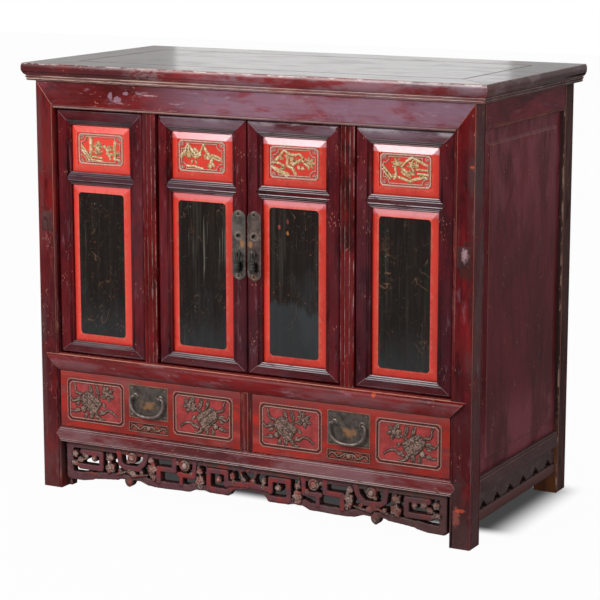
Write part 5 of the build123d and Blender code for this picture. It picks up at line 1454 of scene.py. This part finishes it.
def door_plate(side):
    """Slightly dished plate with a scalloped edge."""
    node = f"{side}_door_plate"
    a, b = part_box(node)
    cx, cz, inwards = (a.x + b.x) / 2, (a.z + b.z) / 2, 1 if side == "left" else -1
    slim, outline = (b.x - a.x) / (b.z - a.z), plate_outline(b.x - a.x, b.z - a.z, 0.045)
    rows = ((1.0, b.y), (1.0, a.y + 0.7 * MM), (0.965, a.y + 0.1 * MM), (0.90, a.y), (0.55, a.y + 0.25 * MM),
        (0.2, a.y + 0.3 * MM))
    work = loops_to_mesh([[(cx + x * k, y, cz + z * (1 - (1 - k) * slim)) for x, z in outline]
        for k, y in rows])
    warm, wear = work.verts.layers.float.new("warm"), work.verts.layers.float.new("wear")
    for vert in work.verts:
        near = hypot((vert.co.x - cx) / 0.02, (vert.co.z - 0.616) / 0.024)
        vert[warm] = max(0.0, 0.8 - near * 0.75) * (1.25 if (vert.co.x - cx) * inwards > -0.004 else 0.8)
        vert[wear] = 0.8 if abs(vert.co.y - a.y - 0.1 * MM) < 0.05 * MM else 0.0
    tone = (0.100, 0.086, 0.076) if side == "left" else (0.105, 0.070, 0.062)
    dark, pale = (0.008, 0.008, 0.007), (0.270, 0.200, 0.165)
    # the two dark spots behind the hanging pull are its painted shadow
    spots = ((0, 678, 7.5, 7.5, pale), (0, STAPLE - 1, 10.5, 10.5, pale),
        (9 * inwards, 612, 5, 8, colours().brass[:]), (0, 541, 8, 7, pale), (0, 588, 6.5, 11, dark),
        (5, 562, 6, 13, dark))
    spots = tuple((cx + x * MM, z * MM, half_w * MM, half_h * MM, spot) for x, z, half_w, half_h, spot in spots)
    panel_object(node, work, "aged_bronze", old_bronze(f"{side}_plate_bronze", tone, 0.55, 0.25, spots=spots))


@cache
def stud_bronze():
    """Bronze of the studs on both doors, with a dark disc in each: painted shade for its hole."""
    a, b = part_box("left_door_studs")
    holes = tuple((sign * abs(a.x + b.x) / 2, z * MM, hole * MM, hole * MM, (0.010, 0.008, 0.007))
        for _, sign in SIDES for z, _, hole in STUDS)
    return old_bronze("stud_bronze", (0.230, 0.180, 0.155), 0.7, 0.4, 0.3, holes)


def door_studs(side, sign):
    """Ringed studs, the padlock staple and the eye of the pull."""
    node = f"{side}_door_studs"
    a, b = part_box(node)
    x, plate, parts = (a.x + b.x) / 2, b.y, []
    for z, size, _ in STUDS:
        profile = [(size * k, along) for k, along in ((1, 0), (1, 0.5), (0.92, 1.3), (0.7, 1.5), (0.55, 0.9),
            (0.45, 1.6), (0.3, 2.6), (0.12, 3.0))]
        if z == STAPLE:
            profile[5:] = [(size * 0.3, 0.9)]
        parts.append(lathe(profile, lambda p, q, along: (x + p, plate - along, z * MM + q)))
    arch = [(x + 3.4 * MM * cos(t), plate - 0.6 * MM - 3.0 * MM * sin(t * 0.5) ** 0.5, (STAPLE - 3.6) * MM
        + 7.4 * MM * sin(t)) for t in np.linspace(0, pi, 15)]
    parts.append(tube(arch, [1.7 * MM] * len(arch), 10))
    out = 8.8 * MM
    parts.append(eye(x, plate - out, PULL_Z, 3.3 * MM))
    parts.append(tube([(x, plate, PULL_Z), (x, plate - out + 3.2 * MM, PULL_Z)], [1.6 * MM, 1.3 * MM], 12))
    gathered(f"{node}_finished", parts, stud_bronze(), node, warm=lambda co: 0.9 if co.z < 0.55
        and sign > 0 else 0.0)


def door_pull(side):
    """Drop pull: pointed stirrup, ringed waist, fluted barrel and flared foot."""
    node = f"{side}_door_pull"
    a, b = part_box(node)
    x, y, half, waist = (a.x + b.x) / 2, low(f"{side}_door_studs").y + 4.4 * MM, 6.0 * MM, -20.7
    arch = [(-0.75, waist), (-1, -8), (-1, -1.5), (-0.6, 0)]
    points = [(x + half * p, y, PULL_Z + q * MM) for p, q in arch + [(-p, q) for p, q in reversed(arch)]]
    profile = ((1.0, 0.6), (5.0, 0.3), (7.2, -0.8), (7.7, -2.2), (7.2, -3.6), (5.4, -4.6), (5.4, -5.4),
        (6.6, -6.4), (6.8, -13), (6.2, -14.2), (7.2, -15.2), (7.4, -17), (6.2, -18.6), (5.0, -19.8),
        (5.0, -21.2), (6.8, -22.6), (7.0, -24.6), (6.2, -25.9), (1.0, -26.2))
    barrel = lathe(profile, lambda p, q, along: (x + p, y + q * 0.95, PULL_Z + waist * MM + along), 32)
    gathered(f"{node}_finished", [tube(points, [2.1 * MM] * len(points), 12), barrel],
        old_bronze("pull_bronze", (0.075, 0.078, 0.072), 0.2, 0.45, 0.24), node)


def drawer_plate(side):
    """Plate, eyes with round backs, beaded border and corner nails."""
    node = f"{side}_drawer_plate"
    a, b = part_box(node)
    face, cx, cz = b.y - 1.5 * MM, (a.x + b.x) / 2, 230 * MM
    half_w, half_h = 49 * MM, 36 * MM
    rows = ((1, 1, b.y), (1, 1, face + 0.5 * MM), (0.99, 0.987, face), (0.93, 0.90, face + 0.1 * MM),
        (0.6, 0.6, face + 0.35 * MM), (0.3, 0.3, face + 0.45 * MM))
    work = loops_to_mesh([ring(cx - half_w * k, cx + half_w * k, cz - half_h * m, cz + half_h * m, y, 5,
        2.5 * MM) for k, m, y in rows])
    bmesh.ops.subdivide_edges(work, edges=[e for e in work.edges if e.calc_length() > 9 * MM], cuts=3,
        use_grid_fill=True)
    warm, wear = work.verts.layers.float.new("warm"), work.verts.layers.float.new("wear")
    for vert in work.verts:
        near = hypot((vert.co.x - cx) / 0.030, (vert.co.z - cz + 0.006) / 0.020)
        top_rub = max(0.0, 1 - abs(vert.co.z - cz - 0.034) / 0.005) * 0.55
        vert[warm] = max(0.0, 1.15 - near * 0.8, top_rub)
        vert[wear] = 0.7 if abs(vert.co.y - face) < 0.06 * MM and abs(vert.co.x - cx) > 0.98 * half_w else 0.0
    panel_object(node, work, "aged_bronze", old_bronze("drawer_plate_bronze", (0.090, 0.070, 0.060), 0.75, 0.3))
    metal, parts = fitting_bronze(), []
    for at in (cx - 33 * MM, cx + 33 * MM):
        cup = ((6.4, 0), (6.4, 0.6), (5.6, 1.4), (4.2, 1.9), (3.0, 2.0), (2.4, 3.2), (2.3, 4.6))
        parts.append(lathe(cup, lambda p, q, along: (at + p, face - along, BAIL_Z + q), 24))
        parts.append(eye(at, face - 8 * MM, BAIL_Z, 3.6 * MM))
    gathered(f"{side}_bail_eyes", parts, metal, node, False, lambda co: 0.3)
    tan = carved("beading_tan", (0.36, 0.19, 0.12), (0.45, 0.27, 0.18), (0.36, 0.19, 0.12), (0.62, 0.40, 0.30),
        0.45, 0.3)
    grown(f"{side}_plate_beading", rim_tree("Beading", 0.001, 0.002), node,
        {"Width": 2 * half_w + 3.2 * MM, "Height": 2 * half_h + 3.2 * MM, "Radius": 1.3 * MM,
        "Pitch": sizes().bead_pitch, "Centre": (cx, b.y, cz), "Material": tan})
    grown(f"{side}_plate_nails", rim_tree("Corner nails", 0.002), node,
        {"Width": 2 * half_w - 11 * MM, "Height": 2 * half_h - 11 * MM, "Radius": sizes().nail_radius,
        "Centre": (cx, face, cz), "Material": metal})


def smooth_path(points, steps=6):
    """Points of a Catmull-Rom curve through the given ones."""
    points = [Vector(p) for p in points]
    ends = [2 * points[0] - points[1]] + points + [2 * points[-1] - points[-2]]
    out = []
    for p0, p1, p2, p3 in zip(ends, ends[1:], ends[2:], ends[3:]):
        for k in range(steps):
            t = k / steps
            out.append(0.5 * (2 * p1 + (p2 - p0) * t + (2 * p0 - 5 * p1 + 4 * p2 - p3) * t ** 2
                + (3 * p1 - p0 - 3 * p2 + p3) * t ** 3))
    return out + [points[-1]]


def drawer_bail(side):
    """Swan-necked bail with curled ends that pass through the eyes."""
    node = f"{side}_drawer_bail"
    a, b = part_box(node)
    cx, y = (a.x + b.x) / 2, (a.y + b.y) / 2
    half = ((26.6, 5.4), (27.4, 3.9), (28.9, 1.7), (31, 0.4), (34.5, -0.6), (39, -0.4), (42.4, -3.5),
        (43.4, -10), (42.4, -19), (37.5, -30), (28, -39), (15, -44), (0, -45.4))
    lean = (3.6, 1.9, 0.5, *[0.0] * 10)        # the curled ends come forwards and so clear the plate
    left = [(cx - p * MM, y - out * MM, BAIL_Z + q * MM) for out, (p, q) in zip(lean, half)]
    points = smooth_path(left + [(2 * cx - x, out, z) for x, out, z in reversed(left[:-1])])
    radii = []
    for i in range(len(points)):
        t = abs(i / (len(points) - 1) - 0.5) * 2
        radii.append((3.1 - 1.3 * min(t / 0.72, 1) ** 2 - (0.9 * max(0, t - 0.86) / 0.14)) * MM)
    gathered(f"{node}_finished", [tube(points, radii, 14)], fitting_bronze(), node, warm=lambda co: 0.2)


# ---- aprons

# Left half of the front apron, in millimetres from the middle and above the floor; the right half mirrors it.
# Bars are (half-width, points), bosses (x, z, radius), leaves (x, z, angle, length).
APRON_FRAME = [(7.5, [(484, 104.5), (0, 104.5)]), (9.5, [(474, 31), (474, 104)]),
    (10, [(474, 31), (440, 31.5), (415, 36)]), (8, [(415, 36), (384, 39.5), (345, 43)]),
    (6, [(345, 43), (330, 45), (300, 45), (279, 46)]), (8.5,
    [(279, 47), (262, 41), (238, 39), (154, 41), (141, 47)]), (6.5, [(141, 46), (112, 47.5), (99, 44)]),
    (8, [(99, 46), (54, 45)]), (7, [(54, 45), (44, 56), (36, 60), (0, 65)])]
APRON_KEYS = [(6.8, [(440, 90), (388, 90), (388, 56), (446, 56)]),
    (6.8, [(340, 103), (336, 76), (324, 68), (288, 68), (272, 84), (266, 104)]),
    (6.6, [(192, 104), (192, 77), (234, 77), (234, 48)]), (5.5, [(174, 72), (174, 48)]),
    (6.0, [(138, 104), (140, 69), (180, 70)]), (6.6, [(56, 62), (56, 90), (102, 90), (102, 48), (58, 46)]),
    (6.5, [(52, 66), (0, 70)])]
APRON_BOSSES = [(407, 78, 8), (304, 92, 13.5), (164, 92, 14.5), (76, 72, 9)]
APRON_FLOWERS = [(362, 62, 15), (250, 74, 14), (124, 62, 14), (458, 84, 10), (444, 72, 9), (428, 80, 8),
    (462, 62, 8), (40, 82, 8), (300, 55, 9), (362, 86, 9), (252, 92, 9), (124, 84, 9)]
APRON_TWIGS = [[(344, 50), (320, 58), (300, 51), (262, 57)], [(466, 58), (450, 70), (430, 74)],
    [(372, 92), (362, 76), (370, 48)], [(252, 98), (248, 76), (254, 52)], [(128, 94), (122, 70), (128, 50)]]
APRON_LEAVES = [(462, 92, 250, 18), (452, 76, 40, 16), (444, 66, 120, 14), (432, 78, 80, 12),
    (460, 62, 200, 14), (366, 50, 60, 18), (372, 76, 110, 18), (354, 80, 60, 18), (350, 54, 30, 16),
    (376, 58, 160, 14), (330, 54, 30, 14), (316, 56, 140, 12), (296, 54, 30, 14), (276, 56, 60, 12),
    (250, 92, 250, 16), (244, 62, 280, 16), (258, 66, 230, 16), (258, 86, 110, 14), (132, 56, 240, 16),
    (118, 54, 300, 14), (122, 78, 70, 16), (130, 76, 110, 16), (46, 90, 200, 12), (34, 76, 300, 12),
    (20, 78, 170, 14), (150, 80, 250, 10), (320, 84, 200, 12), (178, 98, 330, 10)]
PENDANT = (314, 35, 11.5)      # hanging bud
LOOP = (98, 19, 3.2)           # loop under the middle of the top bar: height, radius, half-width


def front_apron():
    """Openwork board: key fret, bosses, foliage and hanging buds, mirrored about the middle."""
    node = "front_apron"
    a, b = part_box(node)
    mid = (a.z + b.z) / 2
    relief = Relief(2 * b.x, b.z - a.z, sizes().apron_cell)
    real_u = relief.u.copy()
    relief.u, relief.v = np.abs(relief.u) / MM, (relief.v + mid) / MM
    body, keys = (np.full_like(relief.u, -9.0) for _ in range(2))
    for half, points in APRON_FRAME:
        body = np.maximum(body, half - relief.along(points)[0])
    for half, points in APRON_KEYS:
        keys = np.maximum(keys, half - relief.along(points)[0])
    body = np.maximum(body, keys)
    relief.lay(1.8 * np.clip(keys / 1.6, 0, 1) ** 0.5, 0.5)
    for points in APRON_TWIGS:
        relief.stroke(points, 3.6, 2.6, 2.4)
    for x, z, radius in APRON_BOSSES:
        d = np.hypot(relief.u - x, relief.v - z)
        relief.lay(4.2 * np.clip(1 - (d / radius) ** 2, 0, 1) ** 0.5, 1.0)
        relief.height -= 1.6 * np.exp(-((d - 0.55 * radius) / 1.3) ** 2)
    for x, z, radius in APRON_FLOWERS:
        relief.blossom(x, z, radius, 5, 3.6, 1.0, x)
    for x, z, angle, size in APRON_LEAVES:
        relief.leaf(x, z, angle, 1.12 * size, 11.5, 3.2)
    p, q = relief.u - PENDANT[0], relief.v - PENDANT[1]
    bud = PENDANT[2] - np.hypot(p, q * (0.85 + 0.02 * np.abs(p)))
    relief.lay(3.0 * np.clip(bud / 9, 0, 1) ** 0.5 * (0.8 + 0.2 * np.cos(p * 1.1)), 1.0)
    d = np.abs(np.hypot(relief.u, relief.v - LOOP[0]) - LOOP[1])
    loop = np.where(relief.v < LOOP[0] + 1, LOOP[2] - d, -9)
    relief.lay(2.8 * np.clip(loop / 3.2, 0, 1) ** 0.5, 1.0)
    knot = np.minimum(5 - relief.u, 22 - np.abs(relief.v - 84))
    relief.lay(3.4 * np.clip(knot / 3, 0, 1) ** 0.5, 0.5)
    body = np.maximum(body, np.where((relief.height > 0.3) & (relief.paint > 0.6), 1.8, -9))
    body = np.clip(body, -3, 3)
    for _ in range(2):
        body[1:-1, 1:-1] = (body[1:-1, 1:-1] + body[:-2, 1:-1] + body[2:, 1:-1] + body[1:-1, :-2]
            + body[1:-1, 2:]) / 5
    body = np.minimum(body, np.minimum(484 - relief.u, b.z / MM + 0.01 - relief.v))
    relief.height -= 2.6 * (1 - np.clip(body / 2.4, 0, 1)) ** 2
    # painted shade on the cut-back ground and round the openings
    relief.dark = 0.75 * np.clip(1 - body / 1.4, 0, 1)
    relief.height *= MM
    relief.u, relief.v = real_u, relief.v * MM - mid
    relief.roughen(0.12 * MM, 5)
    relief.body = body * MM
    wood = carved("apron_carving", (0.150, 0.056, 0.064), (0.400, 0.255, 0.215), (0.215, 0.072, 0.086),
        (0.66, 0.52, 0.46), 0.42, 0.25, (0.330, 0.040, 0.034), 0.8, lambda f: f.ramp("X", 0.05, 0.48) * 0.45)
    relief.board("front_apron_carved", facing_front(0, a.y, mid), b.y - a.y, wood, 55, node,
        True)


def side_aprons():
    """Boards with cloud-shaped piercings over a rounded bar that curls up at the back."""
    node = "side_aprons"
    a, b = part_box(node)
    width, height = b.y - a.y, b.z - a.z
    mid_y, mid_z = (a.y + b.y) / 2, (a.z + b.z) / 2
    for side, sign in SIDES:
        relief = Relief(width, height, 1.4 * MM)
        u, v = sign * relief.u, relief.v + mid_z
        bar_mid = a.z + 12 * MM
        body = np.full_like(u, 1.0)
        count = 6
        for i in range(count):
            y = (i + 0.5) / count * width - width / 2
            cloud = np.full_like(u, -1.0)
            for dy, dz, radius in ((-9, 1, 5.4), (0, 5, 7.4), (9, 1, 5.4), (-15, -2, 3.0), (15, -2, 3.0)):
                cloud = np.maximum(cloud, radius * MM - np.hypot(u - y - dy * MM, v - a.z - (29 + dz) * MM))
            body = np.minimum(body, -cloud)
        bar = 12 * MM - np.abs(v - bar_mid)
        relief.height = 3.4 * MM * np.clip(1 - ((v - bar_mid) / (12 * MM)) ** 2, 0, 1) ** 0.5
        relief.height = np.where(bar > 0, relief.height, 0)
        edge = np.clip(body / (2 * MM), 0, 1)
        relief.height -= 1.6 * MM * (1 - edge) ** 2
        relief.paint = np.where(bar > 0.5 * MM, 0.5, 0.0)
        curl = np.hypot(u - width / 2 + 26 * MM, v - bar_mid) / (11 * MM)
        relief.lay((3.9 * MM) * np.clip(1 - curl ** 2, 0, 1) ** 0.5 * (0.75 + 0.25 * np.cos(curl * 9)), 0.8)
        relief.body = np.minimum(body, 20 * MM)
        x = (a.x if sign < 0 else b.x) - sign * 4 * MM
        wood = carved("side_apron_carving", (0.092, 0.052, 0.050), colours().taupe[:], (0.160, 0.062, 0.058),
            (0.24, 0.13, 0.11), 0.42, 0.2)
        relief.board(f"{side}_side_apron", facing_side(sign, x, mid_y, mid_z), 12 * MM, wood, 55, node,
            True)


# ---- stage

CAMERA_AT = (2.2934, -4.3225, 1.4002)
CAMERA_YAW = 28.02        # degrees to the left of straight back
CAMERA_PITCH = 11.06      # degrees downwards
CAMERA_LENS = 130.6       # for a film 36 mm wide


def add_camera():
    data = bpy.data.cameras.new("camera")
    data.lens = CAMERA_LENS
    data.sensor_width = 36
    camera = bpy.data.objects.new("camera", data)
    bpy.context.scene.collection.objects.link(camera)
    yaw, pitch = radians(CAMERA_YAW), radians(CAMERA_PITCH)
    ahead = Vector((-sin(yaw) * cos(pitch), cos(yaw) * cos(pitch), -sin(pitch)))
    right = Vector((cos(yaw), sin(yaw), 0))
    up = right.cross(ahead)
    turn = Matrix((right, up, -ahead)).transposed()
    camera.matrix_world = Matrix.Translation(CAMERA_AT) @ turn.to_4x4()
    bpy.context.scene.camera = camera


def add_lamp(name, at, towards, width, height, power, seen=True):
    data = bpy.data.lights.new(name, "AREA")
    data.shape = "RECTANGLE"
    data.size, data.size_y = width, height
    data.energy = power
    lamp = bpy.data.objects.new(name, data)
    bpy.context.scene.collection.objects.link(lamp)
    lamp.location = at
    lamp.rotation_euler = (Vector(towards) - Vector(at)).to_track_quat("-Z", "Y").to_euler()
    lamp.visible_camera = seen


def add_floor():
    """Grey floor that the camera sees as the white backdrop, apart from the shade under the cabinet.

    From below it is clear.
    """
    mesh, reach = bpy.data.meshes.new("floor"), 12.0
    corners = ((-reach, -reach), (reach, -reach), (reach, reach), (-reach, reach))
    mesh.from_pydata([(x, y, FLOOR_Z) for x, y in corners], [], [(0, 1, 2, 3)])
    f = Finish("floor_white")
    f.shader.inputs["Roughness"].default_value = 0.9
    f.shader.inputs["Specular IOR Level"].default_value = 0.0
    across = f.ramp("X", -0.50, -0.43) * f.ramp("X", 0.60, 0.50)
    along = f.ramp("Y", -0.15, -0.09) * f.ramp("Y", 0.32, 0.24)
    shade = across * along
    f.feed(f.shader.inputs["Base Color"], f.mix(shade, (0.42, 0.42, 0.42), (0.05, 0.05, 0.05)))
    seen = f.node("Is Camera Ray", "LightPath")
    share = seen * f.sum(0.975, shade * 0.925, "SUBTRACT")
    floor = f.node(0, "MixShader", {0: share, 1: Value(f, f.shader.outputs[0]), 2: f.node(0, "Emission")})
    clear = f.node(0, "MixShader", {0: f.node("Backfacing", "NewGeometry"), 1: floor,
        2: f.node(0, "BsdfTransparent")})
    f.feed(f.nodes["Material Output"].inputs["Surface"], clear)
    link("floor", mesh, f.material)


def add_world(settings):
    """White behind the cabinet and above it, a dimmer room in front."""
    world = bpy.data.worlds.new("studio")
    world.use_nodes = True
    bpy.context.scene.world = world
    g = Graph(world.node_tree)
    light = g.nodes["Background"]
    light.inputs["Color"].default_value = (1, 1, 1, 1)
    to = g.node("Generated", "TexCoord")
    up, back = (g.node(letter, "SeparateXYZ", {0: to}) for letter in "ZY")
    room = g.band(up * 0.55 + back, -0.35, 0.65, settings.room, settings.backdrop)
    seen = g.node("Is Camera Ray", "LightPath")
    g.feed(light.inputs["Strength"], g.node(0, "Mix", {"Factor": seen, 2: room, 3: 1.0}))


# ---- operators

class CABINET_OT_carcase(bpy.types.Operator):
    """Lacquer on the posts, the rails, the side panels and the repairs"""

    bl_idname = "cabinet.carcase"
    bl_label = "Carcase"

    def execute(self, context):
        dress_front()
        dress_sides()
        dress_patches()
        return {"FINISHED"}


class CABINET_OT_top(bpy.types.Operator):
    """The framed top and its board"""

    bl_idname = "cabinet.top"
    bl_label = "Top"

    def execute(self, context):
        dress_top()
        return {"FINISHED"}


class CABINET_OT_inside(bpy.types.Operator):
    """Plain wood of the back, the inside and the drawer boxes"""

    bl_idname = "cabinet.inside"
    bl_label = "Inside"

    def execute(self, context):
        dress_inside()
        return {"FINISHED"}


class CABINET_OT_leaves(bpy.types.Operator):
    """Frames of the leaves and the doors"""

    bl_idname = "cabinet.leaves"
    bl_label = "Leaves"

    def execute(self, context):
        dress_leaves()
        return {"FINISHED"}


class CABINET_OT_panels(bpy.types.Operator):
    """Tall black panels with their red borders"""

    bl_idname = "cabinet.panels"
    bl_label = "Tall panels"

    def execute(self, context):
        for leaf in LEAVES:
            lower_panel(f"{leaf}_lower_panel")
        return {"FINISHED"}


class CABINET_OT_carvings(bpy.types.Operator):
    """Small gilded carvings over the tall panels"""

    bl_idname = "cabinet.carvings"
    bl_label = "Gilded carvings"

    def execute(self, context):
        for number, leaf in enumerate(("left_leaf", "left_door", "right_door", "right_leaf")):
            carved_border(f"{leaf}_carved_panel")
            small_carving(leaf, number)
        return {"FINISHED"}


class CABINET_OT_drawers(bpy.types.Operator):
    """Drawer fronts and their framed carvings"""

    bl_idname = "cabinet.drawers"
    bl_label = "Drawers"

    def execute(self, context):
        for number, (side, _) in enumerate(SIDES):
            node = f"{side}_drawer_front"
            dress(node, rust_red(), 0.7 * MM)
            drawer_carving(side, -1, node, 2 * number)
            drawer_carving(side, 1, node, 2 * number + 1)
            drawer_strip(side, node)
        return {"FINISHED"}


class CABINET_OT_fittings(bpy.types.Operator):
    """Bronze plates, studs, pulls and bails"""

    bl_idname = "cabinet.fittings"
    bl_label = "Fittings"

    def execute(self, context):
        for side, sign in SIDES:
            door_plate(side)
            door_studs(side, sign)
            door_pull(side)
            drawer_plate(side)
            drawer_bail(side)
        return {"FINISHED"}


class CABINET_OT_aprons(bpy.types.Operator):
    """Openwork apron at the front and the pierced ones at the sides"""

    bl_idname = "cabinet.aprons"
    bl_label = "Aprons"

    def execute(self, context):
        front_apron()
        side_aprons()
        return {"FINISHED"}


class CABINET_OT_stage(bpy.types.Operator):
    """Camera, lamps, room and floor"""

    bl_idname = "cabinet.stage"
    bl_label = "Stage"

    def execute(self, context):
        settings = context.scene.cabinet_stage
        add_camera()
        add_floor()
        add_world(settings)
        add_lamp("key", (-1.20, -3.1, 2.62), (0, -0.2, 0.6), 2.0, 1.0, settings.key)
        add_lamp("fill", (3.6, -2.2, 1.6), (0.2, 0, 0.5), 1.6, 1.6, settings.fill)
        add_lamp("back", (-1.15, 2.4, 1.45), (-1.15, 0, 1.30), 1.3, 0.75, settings.back, seen=False)
        context.scene.view_settings.view_transform = "Standard"
        return {"FINISHED"}


PIECES = (CABINET_OT_carcase, CABINET_OT_top, CABINET_OT_inside, CABINET_OT_leaves, CABINET_OT_panels,
    CABINET_OT_carvings, CABINET_OT_drawers, CABINET_OT_fittings, CABINET_OT_aprons, CABINET_OT_stage)


class CABINET_PT_panel(bpy.types.Panel):
    """Settings and the operators, in the sidebar of the 3D view"""

    bl_idname = "CABINET_PT_panel"
    bl_label = "Wedding cabinet"
    bl_space_type = "VIEW_3D"
    bl_region_type = "UI"
    bl_category = "Cabinet"

    def draw(self, context):
        for settings in (context.scene.cabinet_colours, context.scene.cabinet_sizes,
                context.scene.cabinet_stage):
            box = self.layout.box()
            for key in settings.__annotations__:
                box.prop(settings, key)
        for piece in PIECES:
            self.layout.operator(piece.bl_idname)


CLASSES = (CabinetColours, CabinetSizes, CabinetStage, *PIECES, CABINET_PT_panel)


def register():
    for cls in CLASSES:
        bpy.utils.register_class(cls)
    bpy.types.Scene.cabinet_colours = bpy.props.PointerProperty(type=CabinetColours)
    bpy.types.Scene.cabinet_sizes = bpy.props.PointerProperty(type=CabinetSizes)
    bpy.types.Scene.cabinet_stage = bpy.props.PointerProperty(type=CabinetStage)


def unregister():
    del bpy.types.Scene.cabinet_stage, bpy.types.Scene.cabinet_sizes, bpy.types.Scene.cabinet_colours
    for cls in reversed(CLASSES):
        bpy.utils.unregister_class(cls)


def main():
    """Makes every piece in order."""
    register()
    bpy.ops.cabinet.carcase()
    bpy.ops.cabinet.top()
    bpy.ops.cabinet.inside()
    bpy.ops.cabinet.leaves()
    bpy.ops.cabinet.panels()
    bpy.ops.cabinet.carvings()
    bpy.ops.cabinet.drawers()
    bpy.ops.cabinet.fittings()
    bpy.ops.cabinet.aprons()
    bpy.ops.cabinet.stage()


if __name__ == "__main__":
    main()
